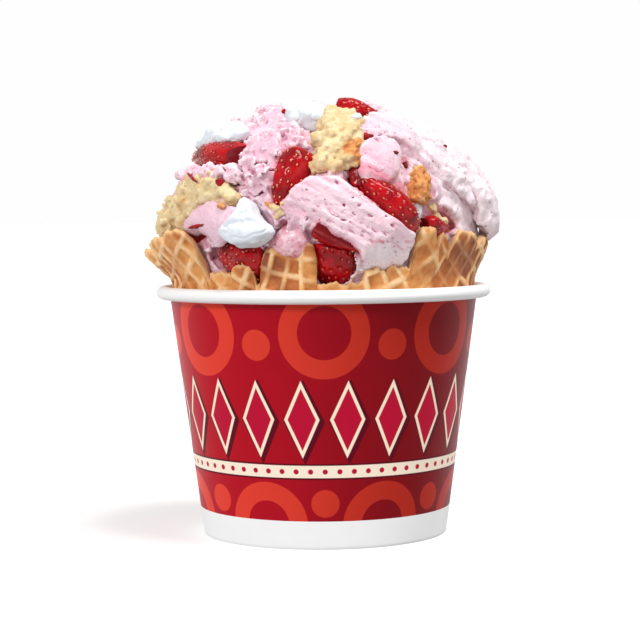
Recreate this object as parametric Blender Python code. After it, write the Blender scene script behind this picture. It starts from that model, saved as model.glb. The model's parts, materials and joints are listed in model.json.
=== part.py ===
# Strawberry ice cream with strawberries, cake and whipped cream, heaped in a torn waffle bowl that
# stands in a round paper cup. Blender 4.5. Sizes are in millimetres until a mesh is made.
#
# The origin is on the cup's axis, on the surface that it stands on. +Z is up and -Y is the front.
# A bearing is the angle about the axis in degrees, 0 at the front and 90 at the right. An elevation
# is the angle above the heap's centre, 0 at the waffle's edge and 90 at the top.

import math

import bmesh
import bpy
from mathutils import Matrix, Vector, geometry, noise

MM = 0.001
GAP = 0.35  # air between two pieces that touch

# Paper cup: a tapered wall with a rolled rim, and a disc with a skirt set up inside its foot.
RIM_RADIUS = 50.0
CUP_HEIGHT = 74.0
FOOT_RADIUS = 36.4
NECK_RADIUS = 45.75  # the wall just under the rolled rim
NECK_HEIGHT = 69.9
BEAD_RADIUS = 2.25
PAPER = 0.6
BASE_HEIGHT = 7.0  # top of the disc above the surface that the cup stands on
SKIRT_END = 0.8
CUP_STEPS = 48
BEAD_STEP = 36  # degrees between two points of the rolled rim

# Waffle bowl: one round sheet with square pockets, pressed into the cup and torn along its edge.
WAFFLE_RIDGE = 3.2  # thickness where two ridges cross
WAFFLE_POCKET = 2.0  # thickness at the middle of a pocket
WAFFLE_PITCH = 6.0
BOTTOM_FLAT = 14.0  # radius, on the flat sheet, of what becomes the bowl's bottom
HIDDEN_FLAT = 42.0  # radius, on the flat sheet, up to where the cup hides it
RIM_FLAT = 46.0  # radius, on the flat sheet, where the bowl leaves the cup
RIM_LEVEL = CUP_HEIGHT + 0.5
BEND_LENGTH = 4.0  # length over which the sheet turns outwards above the rim
EDGE_POINTS = 120
# How far the sheet leans out: bearing, degrees, and how fast that fades round the bowl.
FLARE_AT_FRONT = 6.0
FLARES = ((-90, 39.5, 2.7), (100, 19, 2.0), (180, 10, 2.0))
# What is left of the torn edge: bearing, half width in degrees, height above the rim, and how far it
# stands out from the round.
LOBES = (
    (-88, 12, 13.2, 0.3), (-68, 10, 16.5, -0.4), (-55, 8, 17.6, 0.4), (-40, 7, 5.2, 0.9),
    (-30, 5, 7.1, 1.2), (-17, 8, 11.2, -0.6), (-9, 3, 12.9, -0.8), (-5, 2.4, 12.2, 1.8),
    (5, 7, 2.6, 0.2), (19, 5, 5.0, 0.9), (28, 6, 6.8, 0.0), (38, 5.5, 17.2, 1.0),
    (47, 4, 18.2, -0.8), (60, 10, 17.4, 0.2), (76, 9, 16.8, 0.0), (91, 9, 13.2, 0.8),
    (108, 10, 11.0, -0.5), (125, 11, 15.5, 0.6), (143, 9, 9.5, -0.8), (160, 10, 14.0, 0.6),
    (176, 8, 17.0, -0.4), (-167, 9, 11.5, 0.8), (-150, 10, 15.5, -0.6), (-130, 9, 10.0, 0.7),
    (-110, 11, 14.5, -0.4),
)
LEAST_LOBE = 1.8

# The heap that everything on show sits on: a rounded dome about a centre over the cup's rim.
HEAP_CENTRE = 80.0
HEAP_RADIUS = 49.0
HEAP_RISE = 47.0
HEAP_FULLNESS = 2.3  # 2 is an ellipse, and more is squarer
CORE_UNDER = 2.6  # how far the plain ice cream lies under the dome
CORE_LUMPS = 1.5
CORE_COLUMNS = 40
CORE_DOME_ROWS = 9
FILL_ROWS = (16.0, 34.0, 54.0, 68.0, 75.0)  # heights of the rows of points inside the bowl

# Folds of ice cream: a path of (bearing, elevation, how far it stands proud), width, thickness.
FOLDS = (
    (((-14, 17, -2), (-6, 20, 0.8), (1, 21, 1.6), (8, 18.5, 1.8), (17.6, 11.6, 1.4), (26, 5, -1)), 17, 9),
    (((24, 62, -1), (40, 56, 1.6), (57, 46, 2.4), (71, 33, 3.2), (84, 23, 6.0), (95, 15, 5.8)), 20, 9),
    (((36, 42, -1), (41, 31, 0.6), (47, 22, 1.0)), 9, 7),
    (((22, 51, -1), (23, 41, 1.8), (25, 32, 0.8)), 10, 7),
    (((-43, 52, -1), (-29, 43, 1.8), (-23, 33, 1.4), (-20, 25, -1)), 14, 8),
    (((-58, 11, -1), (-48, 17, 1.2), (-38, 19, 1.4), (-31, 18.5, -1)), 8, 6),
    (((-41, 17, -1), (-38, 10, 0.6), (-38, 4, -1)), 7, 6),
    (((-36, 55, -1), (-20, 51, 1.4), (-8, 45, -0.5)), 9, 6),
    (((-4, 31, -1), (2, 29, 0.8), (9, 29, -0.5)), 9, 6),
    (((-56, 32, -1), (-46, 33, 0.6), (-34, 32, 0.2)), 7, 6),
    (((88, 36, -1), (112, 44, 1.6), (138, 34, 2.0), (160, 20, 1.0)), 18, 9),
    (((-84, 22, -1), (-106, 26, 1.6), (-132, 32, 2.2), (-158, 40, 0.5)), 17, 9),
    (((104, 17, -1), (124, 13, 1.4), (146, 11, 0.5)), 11, 7),
    (((-168, 21, -1), (-150, 14, 1.5), (-128, 12, -1)), 11, 7),
    (((-78, 50, -1), (-104, 54, 1.5), (-142, 56, 0.5)), 13, 8),
    (((30, 76, -1), (95, 70, 1.2), (140, 62, 0.2)), 14, 8),
    (((-175, 74, -1), (-120, 76, 0.9), (-70, 72, 0.6), (-52, 63, -1)), 13, 7),
    (((10, 68, -1), (-20, 77, 0.8), (-75, 82, 0), (-130, 80, -1)), 12, 6),
)
FOLD_RINGS = 8
FOLD_SIDES = 8
FEWER = 0.58  # share of the ice cream's triangles that is kept

# Strawberries: seat = (bearing, elevation, how far the skin stands proud, spin, roll), then length,
# width and depth. Spin is the way that the tip points, seen from outside, 0 to the right and 90 up.
# A slice is cut on both sides.
STRAWBERRIES = {
    "strawberry_left": ((-58, 38, 1.6, 178, -28), 29, 10, 7, "half"),
    "strawberry_centre": ((-12.5, 33, 2.4, -110, 0), 19, 11, 7, "half"),
    "strawberry_top": ((54, 73.5, 2.4, -54, 0), 17, 7, 5, "half"),
    "strawberry_right": ((22, 23.2, 2.4, -47, 8), 26, 10, 7, "half"),
    "strawberry_low_left": ((-38, 4.5, -4.2, 174, 0), 16, 11, 8, "half"),
    "strawberry_low_centre": ((4, 1.5, -4.8, -93, 0), 14, 14, 8, "half"),
    "strawberry_low_right": ((54, 15.8, -2.0, -7, 0), 14, 7, 6, "half"),
    "strawberry_slice_centre": ((5.5, 10.5, -0.9, -25, -20), 17, 9, 4, "slice"),
    "strawberry_slice_left": ((-53, 11.5, -2.6, 6, 30), 13, 6, 4, "slice"),
    "strawberry_coated": ((-13.5, 11.8, -5.0, -160, 0), 11, 7, 5, "half"),
    "strawberry_back_right": ((118, 27, 2.6, 35, 0), 26, 13, 8, "half"),
    "strawberry_back_low": ((152, 6, -5.4, 170, 0), 18, 12, 8, "half"),
    "strawberry_back": ((176, 34, 2.4, -65, 0), 24, 13, 8, "half"),
    "strawberry_back_left": ((-122, 17, 2.2, 15, 0), 24, 12, 8, "half"),
    "strawberry_back_top": ((150, 67, 2.0, 80, 0), 17, 10, 6, "half"),
}
BERRY_COLUMNS = 11
BERRY_ROWS = 7
BERRY_TAPER = 0.36
BERRY_HULL_CUT = 0.43  # where the leafy end is cut off, as a share of the length from the middle
SLICE_SKIN = 0.55  # share of its depth that a slice keeps

# Cake: seat as above, then width, height and depth. The crumb is rough, with torn corners.
CAKES = {
    "cake_left": ((-50, 26.5, 1.8, 4, 0), 19, 10, 11),
    "cake_low_left": ((-71, 16.5, 1.6, 58, 0), 14, 8, 10),
    "cake_top": ((9, 49, 2.8, 76, 0), 20, 11, 11),
    "cake_right": ((39.5, 28, 1.2, 76, 0), 12, 5, 8),
    "cake_back": ((140, 48, 2.4, 25, 0), 18, 12, 12),
    "cake_back_left": ((-152, 24, 2.4, -12, 0), 17, 12, 12),
}
CAKE_CUTS = 3
CAKE_ROUGH = 1.3

# Whipped cream: seat, then width, height and depth, and the peaks drawn up as it left the spoon:
# direction in the dollop's own axes, length as a share of its size, and sharpness.
CREAMS = {
    "cream_left": ((-62, 51.5, 3.4, 4, 0), 20, 8, 7, (((-0.8, 0.2, 0.5), 0.2, 6), ((0.5, 0.6, 0.6), 0.15, 8))),
    "cream_top": ((-13, 63, 3.6, -4, 0), 12, 9, 7, (((-0.8, 0.6, 0.5), 0.3, 12), ((0.7, 0.6, 0.5), 0.25, 10))),
    "cream_centre": (
        (-25.5, 13.5, 2.6, 0, 0), 15, 12, 9,
        (((-0.1, 1.0, 0.15), 0.62, 9), ((0.95, -0.45, 0.1), 0.35, 10), ((-0.9, 0.0, 0.3), 0.18, 7)),
    ),
    "cream_back": ((-168, 60, 3.0, 20, 0), 15, 9, 8, (((0.3, 0.8, 0.6), 0.4, 10), ((-0.9, 0, 0.3), 0.2, 8))),
    "cream_back_left": ((-144, 44, 2.6, -30, 0), 13, 10, 8, (((0, 1.0, 0.3), 0.5, 9), ((0.8, -0.5, 0.3), 0.3, 9))),
}
CREAM_COLUMNS = 12
CREAM_ROWS = 9

# The cutter that makes room for a piece is the piece moved out along its normals by this much. A
# piece that lies deeper than the plain ice cream gets a second cutter, further out, to show it.
POCKET_ROOM = 0.5
WINDOW_DEPTH = 4.5
SUNK = -1.0

COLOURS = {
    "paper": ((0.62, 0.03, 0.04), 0.35),
    "board": ((0.9, 0.89, 0.86), 0.6),
    "waffle": ((0.72, 0.42, 0.17), 0.75),
    "ice_cream": ((0.9, 0.66, 0.72), 0.6),
    "strawberry": ((0.6, 0.02, 0.03), 0.25),
    "cake": ((0.87, 0.72, 0.36), 0.9),
    "cream": ((0.95, 0.95, 0.94), 0.45),
}


def clear_scene():
    for obj in list(bpy.data.objects):
        bpy.data.objects.remove(obj)


def material(kind):
    found = bpy.data.materials.get(kind)
    if found:
        return found
    colour, roughness = COLOURS[kind]
    made = bpy.data.materials.new(kind)
    made.use_nodes = True
    shader = made.node_tree.nodes["Principled BSDF"]
    shader.inputs["Base Color"].default_value = (*colour, 1)
    shader.inputs["Roughness"].default_value = roughness
    shader.inputs["Metallic"].default_value = 0
    return made


def add_object(name, shape, kind, matrix=None):
    """An object from a bmesh in millimetres, which is freed. Its faces are made to point out."""
    bmesh.ops.triangulate(shape, faces=shape.faces)
    bmesh.ops.recalc_face_normals(shape, faces=shape.faces)
    mesh = bpy.data.meshes.new(name)
    bmesh.ops.scale(shape, vec=(MM, MM, MM), verts=shape.verts)
    shape.to_mesh(mesh)
    shape.free()
    mesh.shade_smooth()
    mesh.set_sharp_from_angle(angle=math.radians(40))
    mesh.materials.append(material(kind))
    obj = bpy.data.objects.new(name, mesh)
    bpy.context.scene.collection.objects.link(obj)
    if matrix is not None:
        place = matrix.copy()
        place.translation = place.translation * MM
        obj.matrix_world = place
    return obj


def around(bearing, radius, height):
    """The point at a bearing in degrees, a radius from the axis and a height."""
    angle = math.radians(bearing)
    return Vector((radius * math.sin(angle), -radius * math.cos(angle), height))


def turn_between(bearing, other):
    """The difference of two bearings, from -180 to 180."""
    return (bearing - other + 180) % 360 - 180


# The paper cup


def wall_radius(height):
    return FOOT_RADIUS + (NECK_RADIUS - FOOT_RADIUS) * height / NECK_HEIGHT


def turned(name, profile, kind):
    """The closed outline of (radius, height) points, turned about the axis."""
    shape = bmesh.new()
    verts = [shape.verts.new((radius, 0, height)) for radius, height in profile]
    edges = [shape.edges.new((verts[i - 1], verts[i])) for i in range(len(verts))]
    bmesh.ops.spin(
        shape, geom=verts + edges, axis=(0, 0, 1), cent=(0, 0, 0),
        angle=math.tau, steps=CUP_STEPS, use_merge=True,
    )
    bmesh.ops.remove_doubles(shape, verts=shape.verts, dist=0.005)
    bmesh.ops.dissolve_degenerate(shape, edges=shape.edges, dist=0.005)
    return add_object(name, shape, kind)


def cup_wall():
    bead = (RIM_RADIUS - BEAD_RADIUS, CUP_HEIGHT - BEAD_RADIUS)
    profile = [(FOOT_RADIUS, 0), (wall_radius(35), 35)]
    for angle in range(-138, 180, BEAD_STEP):
        turn = math.radians(angle)
        profile.append((bead[0] + BEAD_RADIUS * math.cos(turn), bead[1] + BEAD_RADIUS * math.sin(turn)))
    profile += [(wall_radius(height) - PAPER, height) for height in (bead[1], 35, 0)]
    return turned("cup_wall", profile, "paper")


def cup_base():
    under_disc = BASE_HEIGHT - PAPER
    outside = [wall_radius(height) - PAPER - GAP for height in (BASE_HEIGHT, SKIRT_END)]
    profile = [
        (0, BASE_HEIGHT),
        (outside[0], BASE_HEIGHT),
        (outside[1], SKIRT_END),
        (outside[1] - PAPER, SKIRT_END),
        (outside[0] - PAPER, under_disc),
        (0, under_disc),
    ]
    return turned("cup_base", profile, "board")


# The waffle bowl


def flare(bearing):
    """How far the sheet leans outwards above the rim, in radians."""
    lean = FLARE_AT_FRONT
    for middle, degrees, fading in FLARES:
        lean += degrees * max(0.0, math.cos(math.radians(bearing - middle))) ** fading
    return math.radians(lean)


def torn_height(bearing):
    """The length of sheet left above the rim at a bearing."""
    height = LEAST_LOBE
    for middle, half_width, top, _ in LOBES:
        away = abs(turn_between(bearing, middle)) / half_width
        if away < 1:
            height = max(height, top * (1 - away ** 4) ** 0.6)
    return height + 0.5 * noise.noise(Vector((bearing * 0.21, 3.7, 0)))


def ruffle(bearing):
    """How far the sheet stands out from the round because of its folds."""
    out = 0.5 * math.sin(math.radians(11 * bearing))
    for middle, half_width, _, lobe_out in LOBES:
        away = turn_between(bearing, middle) / half_width
        out += lobe_out * math.exp(-away * away * 1.5)
    return out


def bowl_radius(height):
    return wall_radius(height) - PAPER - GAP - WAFFLE_RIDGE / 2


def sheet_section(bearing, flat):
    """(radius, height) of the middle of the sheet, from the flat sheet's polar coordinates."""
    low = BASE_HEIGHT + GAP + WAFFLE_RIDGE / 2
    if flat <= BOTTOM_FLAT:
        return (bowl_radius(low) - 4) * flat / BOTTOM_FLAT, low
    hidden_level = RIM_LEVEL - (RIM_FLAT - HIDDEN_FLAT)
    if flat <= HIDDEN_FLAT:
        share = (flat - BOTTOM_FLAT) / (HIDDEN_FLAT - BOTTOM_FLAT)
        height = low + (hidden_level - low) * share
        corner = max(0.0, 1 - share * 12)
        return bowl_radius(height) - 4 * corner, height
    rise = flat - RIM_FLAT
    if rise <= 0:
        return bowl_radius(RIM_LEVEL + rise), RIM_LEVEL + rise
    bent = rise * rise / (2 * BEND_LENGTH) if rise < BEND_LENGTH else rise - BEND_LENGTH / 2
    lean = flare(bearing)
    radius = bowl_radius(RIM_LEVEL) + math.sin(lean) * bent + ruffle(bearing) * min(1.0, rise / 5)
    return radius, RIM_LEVEL + rise - (1 - math.cos(lean)) * bent


def ridged(x, y):
    """1 on a ridge of the flat sheet and 0 in the middle of a pocket."""
    away = min(abs((v / WAFFLE_PITCH + 0.5) % 1 - 0.5) for v in (x, y))
    return 1 - min(1.0, away * 2)


def sheet_points():
    """Points of the flat sheet: rings where it is hidden, then ridge crossings and pocket middles."""
    points = [(0.0, 0.0)]
    for flat, count in ((BOTTOM_FLAT, 20), (17, 20), (30, 24), (HIDDEN_FLAT, 40)):
        points += [tuple(around(360 * i / count, flat, 0).xy) for i in range(count)]
    half = WAFFLE_PITCH / 2
    reach = int((RIM_FLAT + 20) / half)
    for i in range(-reach, reach + 1):
        for j in range(-reach, reach + 1):
            if (i + j) % 2:
                continue
            x, y = i * half, j * half
            flat, bearing = math.hypot(x, y), math.degrees(math.atan2(x, -y))
            if HIDDEN_FLAT + 1.5 < flat < RIM_FLAT + torn_height(bearing) - 1.2:
                points.append((x, y))
    return points


def waffle_bowl():
    """The sheet, cut along its torn edge, bent into the bowl and given its thickness."""
    edge = []
    for i in range(EDGE_POINTS):
        bearing = 360 * i / EDGE_POINTS - 180
        edge.append(around(bearing, RIM_FLAT + torn_height(bearing), 0).xy)
    points = edge + [Vector(p) for p in sheet_points()]
    bounds = [(i, (i + 1) % EDGE_POINTS) for i in range(EDGE_POINTS)]
    verts, _, faces, *_ = geometry.delaunay_2d_cdt(points, bounds, [], 1, 1e-4)
    shape = bmesh.new()
    groups = shape.verts.layers.deform.verify()
    made = []
    for x, y in verts:
        flat, bearing = math.hypot(x, y), math.degrees(math.atan2(x, -y))
        vert = shape.verts.new(around(bearing, *sheet_section(bearing, flat)))
        vert[groups][0] = ridged(x, y) if flat > HIDDEN_FLAT + 1 else 1.0
        made.append(vert)
    for face in faces:
        shape.faces.new([made[i] for i in face])
    obj = add_object("waffle_bowl", shape, "waffle")
    ridges = obj.vertex_groups.new(name="ridges")
    solidify = obj.modifiers.new("Thickness", "SOLIDIFY")
    solidify.thickness = WAFFLE_RIDGE * MM
    solidify.offset = 0
    solidify.vertex_group = ridges.name
    solidify.thickness_vertex_group = WAFFLE_POCKET / WAFFLE_RIDGE
    obj.modifiers.new("Triangles", "TRIANGULATE")
    apply_modifiers(obj)
    return obj


# The heap


def heap_distance(elevation):
    """How far the dome is from the heap's centre at an elevation in degrees."""
    angle = math.radians(elevation)
    across = abs(math.cos(angle)) / HEAP_RADIUS
    up = abs(math.sin(angle)) / HEAP_RISE
    return (across ** HEAP_FULLNESS + up ** HEAP_FULLNESS) ** (-1 / HEAP_FULLNESS)


def outward(bearing, elevation):
    angle = math.radians(elevation)
    return around(bearing, math.cos(angle), math.sin(angle))


def on_heap(bearing, elevation, proud):
    centre = Vector((0, 0, HEAP_CENTRE))
    return centre + outward(bearing, elevation) * (heap_distance(elevation) + proud)


def seat(bearing, elevation, proud, spin, roll):
    """The axes of a piece that lies on the heap: X along it, Y across it and Z straight out."""
    out = outward(bearing, elevation)
    east = around(bearing + 90, 1, 0)
    north = out.cross(east)
    axes = Matrix((east, north, out)).transposed().to_4x4()
    turn = Matrix.Rotation(math.radians(spin), 4, "Z") @ Matrix.Rotation(math.radians(roll), 4, "X")
    return Matrix.Translation(on_heap(bearing, elevation, proud)) @ axes @ turn


def bowl_inside(bearing, height):
    """The radius that the ice cream keeps to inside the bowl, with room for ridges and folds."""
    least = 1e9
    for nearby in (-6, -3, 0, 3, 6):
        radius, level = sheet_section(bearing + nearby, RIM_FLAT + height - RIM_LEVEL)
        if height < RIM_LEVEL - 4:
            radius = bowl_radius(height)
        least = min(least, radius)
    return least - WAFFLE_RIDGE / 2 - 1.3 * GAP


def free_of_bowl(bearing):
    """The height from which nothing of the torn edge is near this bearing."""
    return RIM_LEVEL + 1.5 + max(torn_height(bearing + nearby) for nearby in (-6, -3, 0, 3, 6))


def kept_in_bowl(point):
    """The point, moved in towards the axis where the bowl would be in its way."""
    bearing = math.degrees(math.atan2(point.x, -point.y))
    if point.z > free_of_bowl(bearing):
        return point
    radius = min(math.hypot(point.x, point.y), bowl_inside(bearing, point.z))
    return around(bearing, radius, point.z)


def core_lump(point):
    return CORE_LUMPS * noise.noise(point / 9 + Vector((4.2, 1.7, 8.8)))


def core_rows():
    """Rings of points of the plain ice cream, from the bottom of the bowl to the top of the heap."""
    bearings = [360 * i / CORE_COLUMNS - 180 for i in range(CORE_COLUMNS)]
    low = BASE_HEIGHT + 2 * GAP + WAFFLE_RIDGE
    yield [around(b, bowl_inside(b, low) - 4.5, low) for b in bearings]
    for height in FILL_ROWS:
        yield [around(b, bowl_inside(b, height), height) for b in bearings]
    for row in range(CORE_DOME_ROWS):
        elevation = 90 * row / CORE_DOME_ROWS
        ring = []
        for bearing in bearings:
            point = on_heap(bearing, elevation, -CORE_UNDER)
            ring.append(kept_in_bowl(on_heap(bearing, elevation, core_lump(point) - CORE_UNDER)))
        yield ring


def ice_cream_core():
    shape = bmesh.new()
    rings = [[shape.verts.new(point) for point in ring] for ring in core_rows()]
    for lower, upper in zip(rings, rings[1:]):
        for i in range(CORE_COLUMNS):
            j = (i + 1) % CORE_COLUMNS
            shape.faces.new((lower[i], lower[j], upper[j], upper[i]))
    shape.faces.new(rings[0])
    top = shape.verts.new(on_heap(0, 90, -CORE_UNDER))
    for i in range(CORE_COLUMNS):
        shape.faces.new((rings[-1][i], rings[-1][(i + 1) % CORE_COLUMNS], top))
    return add_object("ice_cream", shape, "ice_cream")


def along(path, share):
    """The (bearing, elevation, proud) at a share of the way along a path, on a smooth curve."""
    at = share * (len(path) - 1)
    i = min(int(at), len(path) - 2)
    knots = [Vector(path[max(0, min(len(path) - 1, k))]) for k in (i - 1, i, i + 1, i + 2)]
    t = at - i
    slopes = ((knots[2] - knots[0]) / 2, (knots[3] - knots[1]) / 2)
    return (
        knots[1] * (2 * t ** 3 - 3 * t ** 2 + 1) + slopes[0] * (t ** 3 - 2 * t ** 2 + t)
        + knots[2] * (3 * t ** 2 - 2 * t ** 3) + slopes[1] * (t ** 3 - t ** 2)
    )


def fold(name, path, width, thickness):
    """A fold of ice cream pressed flat against the heap, with rounded ends."""
    shape = bmesh.new()
    rings = []
    for i in range(FOLD_RINGS):
        share = i / (FOLD_RINGS - 1)
        middle = on_heap(*along(path, share)) - outward(*along(path, share)[:2]) * thickness / 2
        ahead = on_heap(*along(path, min(1, share + 0.02))) - on_heap(*along(path, max(0, share - 0.02)))
        out = outward(*along(path, share)[:2])
        side = ahead.cross(out).normalized()
        swell = (1 - abs(2 * share - 1) ** 3) ** 0.5 * 0.85 + 0.15
        ring = []
        for k in range(FOLD_SIDES):
            angle = math.tau * k / FOLD_SIDES
            point = middle + side * math.cos(angle) * width / 2 * swell
            point += out * math.sin(angle) * thickness / 2 * swell
            ring.append(shape.verts.new(kept_in_bowl(point)))
        rings.append(ring)
    for lower, upper in zip(rings, rings[1:]):
        for k in range(FOLD_SIDES):
            n = (k + 1) % FOLD_SIDES
            shape.faces.new((lower[k], lower[n], upper[n], upper[k]))
    shape.faces.new(rings[0])
    shape.faces.new(rings[-1])
    return add_object(name, shape, "ice_cream")


# What is mixed in and laid on top


def strawberry(name, place, length, width, depth, cut):
    """Half a strawberry, skin up, its tip along X. A slice has lost the top of its skin too."""
    shape = bmesh.new()
    bmesh.ops.create_uvsphere(shape, u_segments=BERRY_COLUMNS, v_segments=BERRY_ROWS, radius=1)
    bmesh.ops.rotate(shape, verts=shape.verts, matrix=Matrix.Rotation(math.pi / 2, 3, "Y"))
    for vert in shape.verts:
        x, y, z = vert.co
        taper = 1 - BERRY_TAPER * x
        uneven = 1 + 0.07 * noise.noise(Vector((x, y, z)) * 1.6 + Vector((length, width, 0)))
        vert.co = Vector((x * length / 2, y * taper * width / 2, z * taper * depth)) * uneven
    cuts = [((0, 0, -0.12 * depth), (0, 0, -1)), ((-BERRY_HULL_CUT * length, 0, 0), (-1, 0, 0.15))]
    if cut == "slice":
        cuts.append(((0, 0, SLICE_SKIN * depth), (0.08, 0, 1)))
    for point, normal in cuts:
        everything = shape.verts[:] + shape.edges[:] + shape.faces[:]
        bmesh.ops.bisect_plane(shape, geom=everything, plane_co=point, plane_no=normal, clear_outer=True)
        bmesh.ops.holes_fill(shape, edges=shape.edges)
    top = SLICE_SKIN * depth if cut == "slice" else depth
    return add_object(name, shape, "strawberry", seat(*place) @ Matrix.Translation((0, 0, -top)))


def cake(name, place, width, height, depth):
    """A torn piece of sponge cake."""
    shape = bmesh.new()
    bmesh.ops.create_cube(shape, size=1)
    bmesh.ops.subdivide_edges(shape, edges=shape.edges, cuts=CAKE_CUTS, use_grid_fill=True)
    seed = Vector((width * 1.3, height * 2.1, depth * 0.7))
    for vert in shape.verts:
        rounded = vert.co.normalized() * 0.5
        soft = vert.co.lerp(rounded, 0.45)
        point = Vector((soft.x * width, soft.y * height, soft.z * depth))
        rough = noise.noise(point / 3.2 + seed) + 0.6 * noise.noise(point / 1.7 + seed)
        vert.co = point * (1 + CAKE_ROUGH * rough / max(width, height, depth) * 2)
    return add_object(name, shape, "cake", seat(*place) @ Matrix.Translation((0, 0, -depth * 0.44)))


def cream(name, place, width, height, depth, peaks):
    """A dollop of whipped cream, drawn up into peaks."""
    shape = bmesh.new()
    bmesh.ops.create_uvsphere(shape, u_segments=CREAM_COLUMNS, v_segments=CREAM_ROWS, radius=1)
    for vert in shape.verts:
        way = vert.co.normalized()
        size = 1 + 0.08 * noise.noise(way * 2 + Vector((width, height, 0)))
        for direction, share, sharp in peaks:
            facing = way.dot(Vector(direction).normalized())
            size += share * math.exp(sharp * (facing - 1))
        vert.co = Vector((way.x * width / 2, way.y * height / 2, way.z * depth / 2)) * size
    return add_object(name, shape, "cream", seat(*place) @ Matrix.Translation((0, 0, -depth / 2)))


# Joining and cutting


def collected(name, objects):
    collection = bpy.data.collections.new(name)
    bpy.context.scene.collection.children.link(collection)
    for obj in objects:
        collection.objects.link(obj)
        bpy.context.scene.collection.objects.unlink(obj)
    return collection


def apply_modifiers(obj):
    graph = bpy.context.evaluated_depsgraph_get()
    mesh = bpy.data.meshes.new_from_object(obj.evaluated_get(graph))
    obj.modifiers.clear()
    obj.data = mesh


def apply_boolean(obj, operation, helpers):
    """Applies one Boolean with all the helpers at once, then removes them."""
    collection = collected("helpers", helpers)
    boolean = obj.modifiers.new(operation.title(), "BOOLEAN")
    boolean.operation = operation
    boolean.operand_type = "COLLECTION"
    boolean.collection = collection
    boolean.solver = "EXACT"
    apply_modifiers(obj)
    for helper in helpers:
        bpy.data.objects.remove(helper)
    bpy.data.collections.remove(collection)


def grown_copy(obj, by):
    """A copy for cutting with, moved out along its normals."""
    copy = bpy.data.objects.new(obj.name + "_room", obj.data.copy())
    copy.matrix_world = obj.matrix_world
    for vert in copy.data.vertices:
        vert.co = vert.co + vert.normal * by * MM
    bpy.context.scene.collection.objects.link(copy)
    return copy


def keep_largest(obj):
    """Drops the loose scraps that cutting leaves."""
    shape = bmesh.new()
    shape.from_mesh(obj.data)
    left = set(shape.verts)
    islands = []
    while left:
        island, todo = set(), [left.pop()]
        while todo:
            vert = todo.pop()
            island.add(vert)
            for edge in vert.link_edges:
                other = edge.other_vert(vert)
                if other in left:
                    left.remove(other)
                    todo.append(other)
        islands.append(island)
    islands.sort(key=len)
    for island in islands[:-1]:
        bmesh.ops.delete(shape, geom=list(island), context="VERTS")
    shape.to_mesh(obj.data)
    shape.free()


def build():
    clear_scene()
    cup_wall()
    cup_base()
    bowl = waffle_bowl()
    pieces = []
    for maker, table in ((strawberry, STRAWBERRIES), (cake, CAKES), (cream, CREAMS)):
        for name, shape in table.items():
            pieces.append(maker(name, *shape))
            pieces[-1]["proud"] = shape[0][2]
    ice_cream = ice_cream_core()
    folds = [fold(f"fold_{i}", *shape) for i, shape in enumerate(FOLDS)]
    apply_boolean(ice_cream, "UNION", folds)
    rooms = [grown_copy(piece, POCKET_ROOM) for piece in pieces]
    for piece in pieces:
        if piece["proud"] < SUNK:
            window = grown_copy(piece, POCKET_ROOM)
            window.matrix_world = piece.matrix_world @ Matrix.Translation((0, 0, WINDOW_DEPTH * MM))
            rooms.append(window)
    rooms.append(grown_copy(bowl, GAP))
    apply_boolean(ice_cream, "DIFFERENCE", rooms)
    keep_largest(ice_cream)
    thinner = ice_cream.modifiers.new("Fewer", "DECIMATE")
    thinner.ratio = FEWER


build()
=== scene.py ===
import json
import math
import random

import bpy
import numpy as np
from mathutils import Matrix, Vector, kdtree, noise
from mathutils.bvhtree import BVHTree

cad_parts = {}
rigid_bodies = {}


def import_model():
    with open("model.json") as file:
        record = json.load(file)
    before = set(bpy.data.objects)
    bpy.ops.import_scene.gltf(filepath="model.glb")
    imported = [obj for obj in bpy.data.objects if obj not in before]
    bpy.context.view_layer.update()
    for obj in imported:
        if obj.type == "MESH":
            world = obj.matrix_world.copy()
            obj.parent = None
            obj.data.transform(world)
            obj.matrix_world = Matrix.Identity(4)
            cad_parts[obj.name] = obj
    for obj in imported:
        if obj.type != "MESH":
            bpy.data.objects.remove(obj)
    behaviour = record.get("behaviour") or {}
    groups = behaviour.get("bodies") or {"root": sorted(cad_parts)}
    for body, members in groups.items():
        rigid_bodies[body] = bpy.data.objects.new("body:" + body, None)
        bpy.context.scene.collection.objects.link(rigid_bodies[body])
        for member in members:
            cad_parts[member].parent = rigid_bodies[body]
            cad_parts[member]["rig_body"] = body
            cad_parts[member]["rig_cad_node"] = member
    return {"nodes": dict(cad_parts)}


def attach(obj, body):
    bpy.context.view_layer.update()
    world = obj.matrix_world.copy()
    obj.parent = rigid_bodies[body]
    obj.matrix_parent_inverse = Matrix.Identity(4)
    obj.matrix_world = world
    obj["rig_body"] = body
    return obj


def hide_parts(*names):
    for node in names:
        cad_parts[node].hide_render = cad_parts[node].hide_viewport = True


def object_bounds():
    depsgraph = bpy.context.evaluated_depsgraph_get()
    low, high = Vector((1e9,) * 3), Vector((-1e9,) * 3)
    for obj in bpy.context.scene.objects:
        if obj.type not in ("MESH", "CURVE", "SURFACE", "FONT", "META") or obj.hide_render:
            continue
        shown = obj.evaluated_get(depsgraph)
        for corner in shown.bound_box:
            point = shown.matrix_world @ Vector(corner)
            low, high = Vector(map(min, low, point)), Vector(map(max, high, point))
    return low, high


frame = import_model()
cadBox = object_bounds()
mm = 0.001
bpy.context.scene.view_settings.view_transform = "Standard"


# helpers for meshes


def deselectAll():
    if bpy.context.mode != "OBJECT":
        bpy.ops.object.mode_set(mode="OBJECT")
    bpy.ops.object.select_all(action="DESELECT")


def pick(obj):
    deselectAll()
    obj.select_set(True)
    bpy.context.view_layer.objects.active = obj


def modify(obj, kind, **settings):  # adds a modifier and applies it
    pick(obj)
    modifier = obj.modifiers.new(kind.title(), kind)
    for setting, value in settings.items():
        setattr(modifier, setting, value)
    bpy.ops.object.modifier_apply(modifier=modifier.name)


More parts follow.
